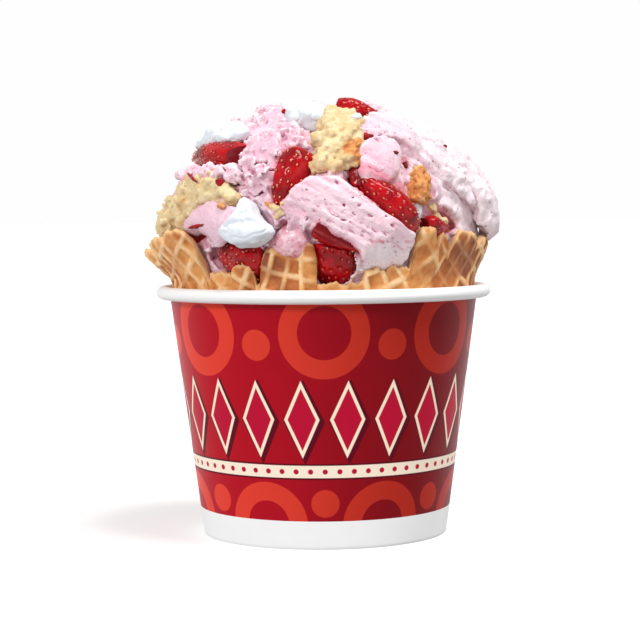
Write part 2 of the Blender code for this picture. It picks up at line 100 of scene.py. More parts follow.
def edit(obj, *steps):  # runs edit mode operators on the whole mesh
    pick(obj)
    bpy.ops.object.mode_set(mode="EDIT")
    bpy.ops.mesh.select_all(action="SELECT")
    for step, settings in steps:
        getattr(bpy.ops.mesh, step)(**settings)
    bpy.ops.object.mode_set(mode="OBJECT")


def readPoints(obj):  # in millimetres
    flat = np.empty(len(obj.data.vertices) * 3, np.float32)
    obj.data.vertices.foreach_get("co", flat)
    return flat.reshape(-1, 3).astype(float) / mm


def writePoints(obj, points):  # kept inside the CAD model's box
    low, high = np.array(cadBox[0]) / mm + 0.02, np.array(cadBox[1]) / mm - 0.02
    inside = np.clip(points, low, high)
    obj.data.vertices.foreach_set("co", (inside * mm).astype(np.float32).reshape(-1))
    obj.data.update()


def readNormals(obj):
    flat = np.empty(len(obj.data.vertices) * 3, np.float32)
    obj.data.vertices.foreach_get("normal", flat)
    return flat.reshape(-1, 3).astype(float)


def paint(obj, name, values):  # one number for each vertex, for the material to read
    layer = obj.data.attributes.new(name, "FLOAT", "POINT")
    layer.data.foreach_set("value", np.asarray(values, np.float32))


def cadCopy(node, name):  # a merged copy of a CAD node's mesh
    piece = frame["nodes"][node].copy()
    piece.data = piece.data.copy()
    piece.parent = None
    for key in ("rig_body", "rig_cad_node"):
        if key in piece:
            del piece[key]
    piece.name = name
    piece.data.materials.clear()
    bpy.context.scene.collection.objects.link(piece)
    edit(piece, ("remove_doubles", {"threshold": 0.00001}))
    return piece


def thin(obj, chosen, ratio):  # leaves fewer faces where the points are chosen
    pick(obj)
    bpy.ops.object.mode_set(mode="EDIT")
    bpy.ops.mesh.select_mode(type="VERT")
    bpy.ops.mesh.select_all(action="DESELECT")
    bpy.ops.object.mode_set(mode="OBJECT")
    obj.data.vertices.foreach_set("select", chosen)
    bpy.ops.object.mode_set(mode="EDIT")
    bpy.ops.mesh.decimate(ratio=ratio)
    bpy.ops.object.mode_set(mode="OBJECT")


def ballPattern():  # points and faces of a small ball of radius 1
    deselectAll()
    bpy.ops.mesh.primitive_ico_sphere_add(subdivisions=2, radius=1)
    pattern = bpy.context.object
    points = readPoints(pattern) * mm
    faces = [list(face.vertices) for face in pattern.data.polygons]
    bpy.data.objects.remove(pattern)
    return points, faces


def meshObject(name, points, faces):  # from points in millimetres
    mesh = bpy.data.meshes.new(name)
    mesh.from_pydata([Vector(p) * mm for p in points], [], faces)
    made = bpy.data.objects.new(name, mesh)
    bpy.context.scene.collection.objects.link(made)
    return made


def titled(node, kind):  # a piece's name from its node's
    return kind + node.split("_", 1)[1].title().replace("_", "")


def joined(objects, name):
    deselectAll()
    for obj in objects:
        obj.select_set(True)
    bpy.context.view_layer.objects.active = objects[0]
    if len(objects) > 1:
        bpy.ops.object.join()
    objects[0].name = name
    return objects[0]


def finishPiece(piece, name, material, slot, nodes=(), sharp=None):
    piece.name = name
    piece.data.name = name
    piece.data.materials.clear()
    piece.data.materials.append(material)
    pick(piece)
    if sharp is None:
        bpy.ops.object.shade_smooth()
    else:
        bpy.ops.object.shade_smooth_by_angle(angle=math.radians(sharp))
    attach(piece, "root")
    if nodes:
        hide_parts(*nodes)


def hollows(obj, rounds):  # how far each point lies under its smoothed surroundings, in millimetres
    points, normals = readPoints(obj), readNormals(obj)
    smooth = obj.copy()
    smooth.data = obj.data.copy()
    bpy.context.scene.collection.objects.link(smooth)
    modify(smooth, "SMOOTH", factor=0.5, iterations=rounds)
    around = readPoints(smooth)
    bpy.data.objects.remove(smooth)
    return np.einsum("ij,ij->i", around - points, normals)


def clouds(points, size, seed, octaves=1):  # smooth noise from about -1 to 1 at each point
    shift = Vector((seed * 7.31, seed * 3.17, seed * 5.73))
    values = np.zeros(len(points))
    for octave in range(octaves):
        scale = 2 ** octave / size
        values += [noise.noise(Vector(p) * scale + shift) / 1.6 ** octave for p in points]
    return values


def ramp(values, low, high):  # smooth step from 0 at low to 1 at high
    t = np.clip((np.asarray(values, float) - low) / (high - low), 0, 1)
    return t * t * (3 - 2 * t)


# helpers for materials


def ink(red, green, blue):  # a colour as it looks on screen, 0 to 255
    linear = [((c / 255 + 0.055) / 1.055) ** 2.4 if c > 10 else c / 255 / 12.92 for c in (red, green, blue)]
    return (*linear, 1)


class Wire:  # the output of a node, for use in sums
    def __init__(self, finish, socket):
        self.finish = finish
        self.socket = socket

    def sum(self, operation, *values):
        return self.finish.node("ShaderNodeMath", {"operation": operation}, dict(enumerate(values)))

    def __add__(self, other):
        return self.sum("ADD", self, other)

    def __sub__(self, other):
        return self.sum("SUBTRACT", self, other)

    def __rsub__(self, other):
        return self.sum("SUBTRACT", other, self)

    def __mul__(self, other):
        return self.sum("MULTIPLY", self, other)

    def __truediv__(self, other):
        return self.sum("DIVIDE", self, other)

    def __gt__(self, other):
        return self.sum("GREATER_THAN", self, other)

    def __lt__(self, other):
        return self.sum("LESS_THAN", self, other)

    def __pow__(self, other):
        return self.sum("POWER", self, other)

    def __abs__(self):
        return self.sum("ABSOLUTE", self)

    __radd__ = __add__
    __rmul__ = __mul__

    def most(self, other):
        return self.sum("MAXIMUM", self, other)

    def fraction(self):
        return self.sum("FRACT", self)

    def between(self, low, high):  # smooth step from 0 at low to 1 at high
        values = {"Value": self, "From Min": low, "From Max": high}
        return self.finish.node("ShaderNodeMapRange", {"interpolation_type": "SMOOTHSTEP"}, values)


class Finish:  # one material
    def __init__(self, name, **numbers):
        self.material = bpy.data.materials.new(name)
        self.material.use_nodes = True
        self.tree = self.material.node_tree
        self.shader = self.tree.nodes["Principled BSDF"]
        for socket, value in numbers.items():
            self.shader.inputs[socket.replace("_", " ")].default_value = value

    def node(self, kind, settings=None, values=None, output=0):
        made = self.tree.nodes.new(kind)
        for setting, value in (settings or {}).items():
            setattr(made, setting, value)
        for socket, value in (values or {}).items():
            if isinstance(value, Wire):
                self.tree.links.new(value.socket, made.inputs[socket])
            else:
                made.inputs[socket].default_value = value
        return Wire(self, made.outputs[output])

    def set(self, socket, wire):
        self.tree.links.new(wire.socket, self.shader.inputs[socket])

    def place(self):  # the surface point in millimetres
        metres = self.node("ShaderNodeTexCoord", output="Object")
        return self.node("ShaderNodeVectorMath", {"operation": "SCALE"}, {0: metres, "Scale": 1000.0})

    def axes(self, place):
        return [self.node("ShaderNodeSeparateXYZ", {}, {0: place}, output=axis) for axis in "XYZ"]

    def noise(self, place, size, detail=2.0, roughness=0.5):  # about 0 to 1
        values = {"Vector": place, "Scale": 1 / size, "Detail": detail, "Roughness": roughness}
        return self.node("ShaderNodeTexNoise", {}, values)

    def cells(self, place, size, output="Distance"):
        return self.node("ShaderNodeTexVoronoi", {}, {"Vector": place, "Scale": 1 / size}, output)

    def painted(self, name):
        return self.node("ShaderNodeAttribute", {"attribute_name": name}, output="Fac")

    def mix(self, share, first, second):
        return self.node("ShaderNodeMix", {"data_type": "RGBA"}, {0: share, 6: first, 7: second}, output=2)

    def bump(self, height, depth, strength=1.0):  # depth in millimetres
        values = {"Height": height, "Distance": depth * mm, "Strength": strength}
        self.set("Normal", self.node("ShaderNodeBump", {}, values, output="Normal"))


# where things lie on the heap: a bearing from the front, an elevation and how far they stand proud

heap = {"centre": 80.0, "radius": 49.0, "rise": 47.0, "fullness": 2.3}


def around(bearing, radius, height):
    angle = math.radians(bearing)
    return Vector((radius * math.sin(angle), -radius * math.cos(angle), height))


def heapDistance(elevation):
    angle = math.radians(elevation)
    across = abs(math.cos(angle)) / heap["radius"]
    up = abs(math.sin(angle)) / heap["rise"]
    return (across ** heap["fullness"] + up ** heap["fullness"]) ** (-1 / heap["fullness"])


def outward(bearing, elevation):
    angle = math.radians(elevation)
    return around(bearing, math.cos(angle), math.sin(angle))


def onHeap(bearing, elevation, proud):
    return Vector((0, 0, heap["centre"])) + outward(bearing, elevation) * (heapDistance(elevation) + proud)


def seat(bearing, elevation, proud, spin, roll):
    out = outward(bearing, elevation)
    east = around(bearing + 90, 1, 0)
    axes = Matrix((east, out.cross(east), out)).transposed().to_4x4()
    turn = Matrix.Rotation(math.radians(spin), 4, "Z") @ Matrix.Rotation(math.radians(roll), 4, "X")
    return Matrix.Translation(onHeap(bearing, elevation, proud)) @ axes @ turn


# paper tub

tub = {
    "steps": 192,
    "footRadius": 36.4,
    "neckRadius": 45.75,
    "neckHeight": 69.9,
    "rimCentre": (47.75, 72.05),
    "rimRadius": (2.25, 1.95),
    "paper": 0.6,
    "printFrom": 8.25,
    "printTo": 70.1,
    "seamBearing": 163,
    "seamWidth": 8.0,
    "softEdge": 0.12,
    "barHeight": 22.6,
}


def wallRadius(height):
    return tub["footRadius"] + (tub["neckRadius"] - tub["footRadius"]) * height / tub["neckHeight"]


def tubProfile():
    profile = [(tub["footRadius"] - 0.12, 0.0), (tub["footRadius"] + 0.01, 0.15)]
    profile += [(wallRadius(z), z) for z in (1.0, 8.0, 20.0, 33.0, 46.0, 58.0, 66.0, 69.2)]
    for angle in range(-138, 172, 12):
        turn = math.radians(angle)
        out, up = tub["rimRadius"][0] * math.cos(turn), tub["rimRadius"][1] * math.sin(turn)
        profile.append((tub["rimCentre"][0] + out, tub["rimCentre"][1] + up))
    profile += [(wallRadius(z) - tub["paper"], z) for z in (70.5, 60.0, 40.0, 20.0, 0.15)]
    profile.append((tub["footRadius"] - tub["paper"] + 0.12, 0.0))
    return profile


def makeTub():
    profile = tubProfile()
    deselectAll()
    bpy.ops.mesh.primitive_circle_add(vertices=tub["steps"], radius=profile[0][0] * mm)
    wall = bpy.context.object
    bpy.ops.object.mode_set(mode="EDIT")
    bpy.ops.mesh.select_all(action="SELECT")
    for (radius, height), (nextRadius, nextHeight) in zip(profile, profile[1:]):
        rise = (0, 0, (nextHeight - height) * mm)
        bpy.ops.mesh.extrude_region_move(TRANSFORM_OT_translate={"value": rise})
        share = nextRadius / radius
        bpy.ops.transform.resize(value=(share, share, 1), center_override=(0, 0, 0))
    bpy.ops.mesh.select_all(action="DESELECT")
    bpy.ops.mesh.select_non_manifold()
    bpy.ops.mesh.bridge_edge_loops()
    bpy.ops.mesh.select_all(action="SELECT")
    bpy.ops.mesh.normals_make_consistent(inside=False)
    bpy.ops.object.mode_set(mode="OBJECT")
    points = readPoints(wall)  # the paper laps over itself at the back
    bearing = np.degrees(np.arctan2(points[:, 0], -points[:, 1]))
    across = (bearing - tub["seamBearing"]) * math.radians(1) * np.hypot(points[:, 0], points[:, 1])
    lap = ramp(across, -0.6, 0.0) * (1 - ramp(across, tub["seamWidth"], tub["seamWidth"] + 3))
    radius = np.hypot(points[:, 0], points[:, 1])
    outer = radius > wallRadius(points[:, 2]) - tub["paper"] / 2
    points[:, :2] *= (1 + 0.22 * lap * outer * (points[:, 2] < 69.5) / radius)[:, None]
    writePoints(wall, points)
    finishPiece(wall, "tubWall", printedPaper(), "printed_paper", ["cup_wall"], sharp=50)


def printedPaper():
    paper = Finish("printedPaper", Roughness=0.42, Specular_IOR_Level=0.07)
    place = paper.place()
    x, y, z = paper.axes(place)
    bearing = paper.node("ShaderNodeMath", {"operation": "ARCTAN2"}, {0: x, 1: y * -1})
    radius = z * ((tub["neckRadius"] - tub["footRadius"]) / tub["neckHeight"]) + tub["footRadius"]

    def column(count, offset):  # millimetres across from the middle of the nearest of a ring of motifs
        turn = (bearing * (count / math.tau) + 50.5 + offset).fraction() - 0.5
        return turn * radius * (math.tau / count)

    def rings(count, offset, middle, outer, inner=-1.0):  # discs where there is no inner radius
        across = column(count, offset)
        away = (across * across + (z - middle) * (z - middle)) ** 0.5
        disc = 1 - away.between(outer - tub["softEdge"], outer + tub["softEdge"])
        return disc * away.between(inner - tub["softEdge"], inner + tub["softEdge"])

    warm = rings(7, 0.0, 62.0, 13.0, 7.6).most(rings(7, 0.5, 7.6, 11.8, 6.4))
    warm = warm.most(rings(7, 0.5, 58.5, 4.4)).most(rings(7, 0.0, 13.4, 4.0))
    across = column(20, 0.5)
    lozenge = abs(across) / 4.1 + abs(z - 37.5) / 9.0
    shade = 1 - (abs(across - 0.7) / 5.9 + abs(z - 36.8) / 12.2).between(0.98, 1.02)
    outline = 1 - lozenge.between(1.21, 1.25)
    filling = 1 - lozenge.between(0.97, 1.0)
    bar = 1 - abs(z - tub["barHeight"]).between(1.7, 1.85)
    barEdge = 1 - abs(z - tub["barHeight"]).between(2.2, 2.4)
    dots = rings(60, 0.0, tub["barHeight"], 0.75)

    # painted light and shade: the print's ground and warm rings are coloured lighter on the left side and
    # darker on the right
    side = (x / radius + paper.noise(place, 22.0, 1.0) * 0.3 - 0.15).between(-0.85, 0.75)
    ground = paper.mix(side, ink(182, 14, 34), ink(122, 8, 19))
    colour = paper.mix(warm, ground, paper.mix(side, ink(226, 64, 48), ink(176, 40, 28)))
    colour = paper.mix(shade, colour, ink(92, 6, 26))
    colour = paper.mix(outline, colour, ink(252, 232, 208))
    colour = paper.mix(filling, colour, ink(186, 16, 52))
    colour = paper.mix(barEdge, colour, ink(92, 6, 26))
    colour = paper.mix(bar, colour, ink(252, 234, 214))
    colour = paper.mix(dots, colour, ink(186, 16, 52))
    outside = (x * x + y * y) ** 0.5 - radius
    printed = (z > tub["printFrom"]) * (z < tub["printTo"]) * (outside > -0.3)
    white = paper.mix(paper.noise(place, 6.0, 3.0), ink(242, 241, 241), ink(248, 247, 247))
    paper.set("Base Color", paper.mix(printed, white, colour))
    fibres = paper.noise(place, 0.35, 3.0)
    paper.set("Roughness", printed * -0.08 + fibres * 0.1 + 0.42)
    paper.bump(fibres, 0.02, 0.3)
    return paper.material


def whiteBoard():
    board = Finish("whiteBoard", Roughness=0.7)
    place = board.place()
    board.set("Base Color", board.mix(board.noise(place, 1.2, 4.0), ink(232, 230, 225), ink(244, 243, 240)))
    board.bump(board.noise(place, 0.3, 3.0), 0.03, 0.4)
    return board.material


makeTub()
frame["nodes"]["cup_base"].data.materials.clear()
frame["nodes"]["cup_base"].data.materials.append(whiteBoard())
print("tub made")


# waffle bowl

waffle = {
    "columns": 720,
    "fineRows": 42,
    "ridge": 3.2,
    "pocket": 1.7,
    "pitch": 6.0,
    "rimFlat": 46.0,
    "rimLevel": 74.5,
    "hiddenFlat": 42.0,
    "bottomFlat": 14.0,
    "low": 8.95,
    "bendLength": 4.0,
    "leanAtFront": 6.0,
    "leans": ((-90, 39.5, 2.7), (100, 19, 2.0), (180, 10, 2.0)),
    "lobes": (
        (-88, 12, 13.2, 0.3), (-68, 10, 16.5, -0.4), (-55, 8, 17.6, 0.4), (-40, 7, 4.0, 0.9),
        (-30, 5, 6.2, 1.2), (-16.6, 6.8, 11.2, -0.6), (-9, 3, 12.9, -0.8), (-5, 2.4, 12.2, 1.8),
        (5, 7, 1.0, 0.2), (19, 5, 5.0, 0.9), (28, 6, 5.3, 0.0), (38, 5.5, 16.6, 1.0),
        (47, 4, 14.6, -0.8), (60, 10, 15.2, 0.2), (76, 9, 13.8, 0.0), (91, 9, 13.2, 0.8),
        (108, 10, 11.0, -0.5), (125, 11, 15.5, 0.6), (143, 9, 9.5, -0.8), (160, 10, 14.0, 0.6),
        (176, 8, 17.0, -0.4), (-167, 9, 11.5, 0.8), (-150, 10, 15.5, -0.6), (-130, 9, 10.0, 0.7),
        (-110, 11, 14.5, -0.4),
    ),
    "leastLobe": 0.9,
    "browned": (
        (62, 24, 0.4), (28, 14, -0.4), (-14, 12, 0.25), (-62, 22, -0.15), (165, 30, 0.4), (-120, 20, 0.25),
    ),
    "tear": 0.75,
}


def turnBetween(bearing, other):
    return (bearing - other + 180) % 360 - 180


def tornHeight(bearing):
    height = waffle["leastLobe"]
    for middle, halfWidth, top, _ in waffle["lobes"]:
        away = abs(turnBetween(bearing, middle)) / halfWidth
        if away < 1:
            height = max(height, top * (1 - away ** 4) ** 0.6)
    height += 0.5 * noise.noise(Vector((bearing * 0.21, 3.7, 0)))
    ragged = noise.noise(Vector((bearing * 0.55, 9.1, 0)))
    ragged += 0.6 * noise.noise(Vector((bearing * 1.7, 1.3, 0)))
    return height + waffle["tear"] * ragged


def bowlRadius(height):
    return wallRadius(height) - tub["paper"] - 0.35 - waffle["ridge"] / 2


def sheetMiddle(bearing, flat):  # arrays of degrees and of distances from the flat sheet's middle
    low, rimLevel = waffle["low"], waffle["rimLevel"]
    rise = flat - waffle["rimFlat"]
    hiddenLevel = rimLevel - (waffle["rimFlat"] - waffle["hiddenFlat"])
    share = np.clip((flat - waffle["bottomFlat"]) / (waffle["hiddenFlat"] - waffle["bottomFlat"]), 0, 1)
    inTub = low + (hiddenLevel - low) * share
    height = np.where(flat > waffle["hiddenFlat"], rimLevel + np.minimum(rise, 0), inTub)
    radius = bowlRadius(height) - 4 * np.clip(1 - share * 12, 0, 1)
    bottom = (bowlRadius(low) - 4) * flat / waffle["bottomFlat"]
    radius = np.where(flat < waffle["bottomFlat"], bottom, radius)
    bend = waffle["bendLength"]
    up = np.maximum(rise, 0)
    bent = np.where(up < bend, up * up / (2 * bend), up - bend / 2)
    lean = np.full(bearing.shape, float(waffle["leanAtFront"]))
    for middle, degrees, fading in waffle["leans"]:
        lean += degrees * np.maximum(0, np.cos(np.radians(bearing - middle))) ** fading
    lean = np.radians(lean)
    out = 0.5 * np.sin(np.radians(11 * bearing))
    for middle, halfWidth, _, lobeOut in waffle["lobes"]:
        away = turnBetween(bearing, middle) / halfWidth
        out += lobeOut * np.exp(-away * away * 1.5)
    radius = radius + np.sin(lean) * bent + out * np.minimum(1, up / 5)
    height = height + np.where(up > 0, up - (1 - np.cos(lean)) * bent, 0)
    angle = np.radians(bearing)
    return np.stack([radius * np.sin(angle), -radius * np.cos(angle), height], -1)


def gridRidge(x, y, shift):  # 1 on the ridges of the waffle's grid and 0 in its pockets
    pitch = waffle["pitch"]
    lines = [np.abs((v / pitch + shift + 0.5) % 1 - 0.5) * pitch for v in (x, y)]
    return 1 - ramp(np.minimum(*lines), 0.25, 1.75)


def makeWaffle():
    columns, fine = waffle["columns"], waffle["fineRows"]
    hidden = [0.0, 7.0, 14.0, 16.5, 24.0, 33.0, 40.0]
    lip = 3
    rows = 2 * (len(hidden) + fine) + lip
    deselectAll()
    bpy.ops.mesh.primitive_grid_add(x_subdivisions=columns, y_subdivisions=rows - 1, size=2)
    bowl = bpy.context.object
    start = readPoints(bowl) * mm
    column = np.rint((start[:, 0] + 1) / 2 * columns).astype(int)
    row = np.rint((start[:, 1] + 1) / 2 * (rows - 1)).astype(int)
    bearings = np.arange(columns + 1) * 360 / columns - 180
    edges = waffle["rimFlat"] + np.array([tornHeight(b) for b in bearings])
    edges[-1] = edges[0]
    half = len(hidden) + fine
    flats = np.empty((rows, columns + 1))
    side = np.empty(rows)
    for i in range(rows):
        k = min(i, rows - 1 - i)
        if k < len(hidden):
            flats[i] = hidden[k]
        else:
            flats[i] = 40.0 + (edges - 40.0) * min(1, (k - len(hidden) + 1) / fine)
        side[i] = 1 if i < half else -1
    for j in range(lip):
        side[half + j] = math.cos(math.pi * (j + 1) / (lip + 1))
    flat, bearing = flats[row, column], bearings[column]
    tiny = 0.05
    middle = sheetMiddle(bearing, flat)
    alongSheet = sheetMiddle(bearing, flat + tiny) - sheetMiddle(bearing, flat - tiny)
    aroundSheet = sheetMiddle(bearing + tiny, flat) - sheetMiddle(bearing - tiny, flat)
    normal = np.cross(aroundSheet, alongSheet)
    length = np.linalg.norm(normal, axis=1, keepdims=True)
    normal = np.where(length > 1e-6, normal / np.maximum(length, 1e-6), (0, 0, -1))
    x = flat * np.sin(np.radians(bearing))
    y = -flat * np.cos(np.radians(bearing))
    warp = np.stack([x, y, np.zeros_like(x)], -1)
    wobbleX, wobbleY = clouds(warp, 14, 2), clouds(warp, 14, 5)
    outerRidge = gridRidge(x + wobbleX, y + wobbleY, 0.0)
    innerRidge = gridRidge(x + wobbleX, y + wobbleY, 0.5)
    sideOf = side[row]
    ridge = np.where(sideOf > 0, outerRidge, innerRidge)
    ridge = ridge * (0.45 + 0.55 * ramp(clouds(middle, 7.5, 7), -0.35, 0.25))
    ridge = np.where(flat > waffle["hiddenFlat"] - 3, ridge, 1.0)
    grain = clouds(middle, 2.6, 3, 2) * 0.2 + clouds(middle, 0.9, 4) * 0.1
    thick = (waffle["pocket"] + (waffle["ridge"] - waffle["pocket"]) * ridge) / 2
    toEdge = edges[column] - flat
    thick = thick * (0.72 + 0.28 * ramp(toEdge, 0, 1.2)) + np.where(flat > 40, grain, 0)
    points = middle + normal * (sideOf * thick)[:, None]
    onLip = np.abs(sideOf) < 0.99
    direction = alongSheet / np.maximum(np.linalg.norm(alongSheet, axis=1, keepdims=True), 1e-9)
    rough = 0.35 + 0.35 * clouds(points, 0.8, 8) + 0.3 * clouds(points, 2.2, 9)
    points += direction * (onLip * rough)[:, None]
    writePoints(bowl, points)
    baked = 0.25 + 0.9 * clouds(middle, 17, 6)
    for centre, spread, more in waffle["browned"]:
        baked += more * np.exp(-(turnBetween(bearing, centre) / spread) ** 2)
    paint(bowl, "baked", np.where(onLip, baked * 0.5, baked))
    paint(bowl, "ridge", np.where(onLip, 0.5, ridge))
    paint(bowl, "toEdge", np.where(onLip, -0.5, toEdge))
    edit(bowl, ("remove_doubles", {"threshold": 0.00001}))
    finishPiece(bowl, "waffleBowl", bakedWaffle(), "waffle", ["waffle_bowl"])


def bakedWaffle():
    baked = Finish("bakedWaffle", Roughness=0.62, Subsurface_Weight=0.06, Subsurface_Scale=0.002)
    place = baked.place()
    ridge, toEdge, browned = baked.painted("ridge"), baked.painted("toEdge"), baked.painted("baked")
    patches = baked.noise(place, 6.0, 3.0)
    mottle = baked.noise(place, 2.2, 4.0, 0.6)
    pores = baked.cells(place, 0.9)
    tone = browned * 0.7 + patches * 1.3 + mottle * 0.5 - 0.85
    pocket = baked.mix(tone.between(0.0, 0.45), ink(220, 152, 82), ink(186, 106, 44))
    pocket = baked.mix(tone.between(0.4, 0.9), pocket, ink(134, 64, 18))
    light = baked.mix(mottle.between(0.35, 0.7), ink(246, 210, 160), ink(230, 176, 112))
    light = baked.mix(tone.between(0.1, 0.9) * 0.3, light, ink(220, 162, 102))
    colour = baked.mix((ridge + mottle * 0.3 - 0.15).between(0.25, 0.95), pocket, light)
    edgeShare = 1 - (toEdge + mottle * 1.2).between(0.3, 1.5)
    torn = baked.mix(mottle, ink(248, 214, 164), ink(224, 162, 96))
    baked.set("Base Color", baked.mix(edgeShare * 0.7, colour, torn))
    baked.set("Roughness", mottle * 0.2 + 0.5)
    baked.bump(mottle + pores * 0.4, 0.16, 0.6)
    return baked.material


makeWaffle()
print("waffle bowl made")


# ice cream

iceCream = {
    "voxel": 0.47,
    "reach": 1.4,
    "hiddenShare": 0.04,
    "triangles": 190000,
    # patches painted in the ice cream's lilac shade colour: painted shade
    "lilacShadePatches": ((-19, 38, 20, 18, 1.0), (-16, 16, 9, 8, 1.0), (22, 34, 9, 9, 0.5), (40, 26, 9, 12, 0.9),
              (-70, 12, 25, 12, 0.8)),
    # patches painted near white as painted light, where the heap lies in shade; there its pits and crags are
    # also made shallower
    "pale": ((78, 34, 42, 34), (21, 2, 13, 6)),
    "pitted": ((-7, 20.5), (26, 5.5), 3.4),
    "flecks": (22, 8.5, 7, 4),
    "smears": ((36, 38, 3.5, 3.5, 1.0), (31, 28, 3, 3, 0.8), (40, 24, 4, 4, 0.8), (46, 19, 7, 3, 0.7),
               (-56, 29, 9, 1.6, 0.9), (3, 60, 5, 3, 0.6)),
    "slabs": (
        {
            "upper": ((-12.6, 17), (-10.5, 24), (-6.2, 27.2), (-1.1, 28.5), (5.7, 28.1), (10.1, 24.1),
                      (15, 20), (20.8, 16.5), (26.6, 12.5), (31.5, 10.6)),
            "lower": ((-12.4, 13), (-10.4, 10), (-7.4, 10.6), (-4.0, 15.2), (1.0, 12.6), (6.5, 9.6),
                      (11.4, 5.0), (15.4, -1), (22, -3), (30, -3.6)),
            "proud": (1.6, 2.0, 3.4), "steps": (90, 44), "seed": 1, "melted": 0.0, "smooth": 1.0,
        },
        {
            "upper": ((13.5, 37), (17.2, 41), (23.2, 43.2), (29.3, 42.4), (33.5, 37.8)),
            "lower": ((13, 30.4), (15.5, 28.4), (19.8, 27.6), (25.2, 28.4), (31.4, 31.9)),
            "proud": (1.0, 2.0, 3.6), "steps": (40, 34), "seed": 2, "melted": 0.35, "smooth": 0.9,
        },
        {
            "upper": ((-55.5, 12.9), (-49.6, 17.8), (-43.7, 20.8), (-37, 21.2), (-28.7, 19.6)),
            "lower": ((-51.5, 10.6), (-45.8, 11.2), (-41.3, 9.4), (-37.2, 6.8), (-33.6, 10.2)),
            "proud": (0.4, 2.4, 1.6), "steps": (44, 24), "seed": 3, "melted": 1.0, "smooth": 0.5,
        },
        {
            "upper": ((-76, 30.6), (-63.8, 33.2), (-49.8, 33.8), (-39.6, 33.3), (-30.4, 31.6)),
            "lower": ((-68, 29), (-54.5, 28.1), (-45.5, 27.9), (-37.2, 28.1), (-30.8, 28.6)),
            "proud": (1.6, 3.2, 2.6), "steps": (50, 20), "seed": 4, "melted": 0.0, "smooth": 0.15,
        },
        {
            "upper": ((14, 52), (26.4, 57.1), (39.9, 56.7), (51.4, 53.8), (60.1, 48.9)),
            "lower": ((13.5, 46), (19.2, 44.2), (28.1, 45.2), (36.1, 43.5), (44, 39)),
            "proud": (3.6, 2.6, 1.6), "steps": (60, 30), "seed": 5, "melted": 0.0, "smooth": 0.5,
        },
        {
            "upper": ((66, 26), (76, 24), (88, 20), (101, 17)),
            "lower": ((70, 13), (78, 9), (88, 5), (98, 5)),
            "proud": (3.4, 4.6, 4.6), "steps": (40, 30), "seed": 6, "melted": 0.0, "smooth": 0.0,
        },
    ),
    "lumps": (
        ((-32, -4), (22, 60), 110, (0.5, 1.7), 20, (0.9, 1.6, 0.6)),
        ((12, 34), (-1, 4), 30, (0.4, 1.1), 0, (1, 1, 1)),
        ((14, 110), (6, 70), 260, (0.5, 1.5), -38, (2.2, 0.7, 0.5)),
        ((-80, -28), (24, 50), 70, (0.5, 1.5), 0, (1.3, 0.9, 0.8)),
        ((-70, -30), (4, 20), 30, (0.5, 1.2), 0, (1, 1, 1)),
        ((100, 290), (2, 78), 420, (0.6, 2.2), 30, (1.7, 0.8, 0.6)),
        ((-40, 60), (58, 84), 90, (0.6, 1.8), -20, (1.6, 0.8, 0.6)),
    ),
    "folds": (
        (((-14, 17, -2), (-6, 20, 0.8), (1, 21, 1.6), (8, 18.5, 1.8), (17.6, 11.6, 1.4), (26, 5, -1)), 17),
        (((24, 62, -1), (40, 56, 1.6), (57, 46, 2.4), (71, 33, 3.2), (84, 23, 6.0), (95, 15, 5.8)), 20),
        (((36, 42, -1), (41, 31, 0.6), (47, 22, 1.0)), 9),
        (((22, 51, -1), (23, 41, 1.8), (25, 32, 0.8)), 10),
        (((-43, 52, -1), (-29, 43, 1.8), (-23, 33, 1.4), (-20, 25, -1)), 14),
        (((-58, 11, -1), (-48, 17, 1.2), (-38, 19, 1.4), (-31, 18.5, -1)), 8),
        (((-41, 17, -1), (-38, 10, 0.6), (-38, 4, -1)), 7),
        (((-36, 55, -1), (-20, 51, 1.4), (-8, 45, -0.5)), 9),
        (((-4, 31, -1), (2, 29, 0.8), (9, 29, -0.5)), 9),
        (((-56, 32, -1), (-46, 33, 0.6), (-34, 32, 0.2)), 7),
        (((88, 36, -1), (112, 44, 1.6), (138, 34, 2.0), (160, 20, 1.0)), 18),
        (((-84, 22, -1), (-106, 26, 1.6), (-132, 32, 2.2), (-158, 40, 0.5)), 17),
        (((104, 17, -1), (124, 13, 1.4), (146, 11, 0.5)), 11),
        (((-168, 21, -1), (-150, 14, 1.5), (-128, 12, -1)), 11),
        (((-78, 50, -1), (-104, 54, 1.5), (-142, 56, 0.5)), 13),
        (((30, 76, -1), (95, 70, 1.2), (140, 62, 0.2)), 14),
        (((-175, 74, -1), (-120, 76, 0.9), (-70, 72, 0.6), (-52, 63, -1)), 13),
        (((10, 68, -1), (-20, 77, 0.8), (-75, 82, 0), (-130, 80, -1)), 12),
    ),
    "samples": 24,
    "strokeSlope": 28,
}


def along(path, share):
    at = share * (len(path) - 1)
    i = min(int(at), len(path) - 2)
    knots = [Vector(path[max(0, min(len(path) - 1, k))]) for k in (i - 1, i, i + 1, i + 2)]
    t = at - i
    slopes = ((knots[2] - knots[0]) / 2, (knots[3] - knots[1]) / 2)
    return (
        knots[1] * (2 * t ** 3 - 3 * t ** 2 + 1) + slopes[0] * (t ** 3 - 2 * t ** 2 + t)
        + knots[2] * (3 * t ** 2 - 2 * t ** 3) + slopes[1] * (t ** 3 - t ** 2)
    )


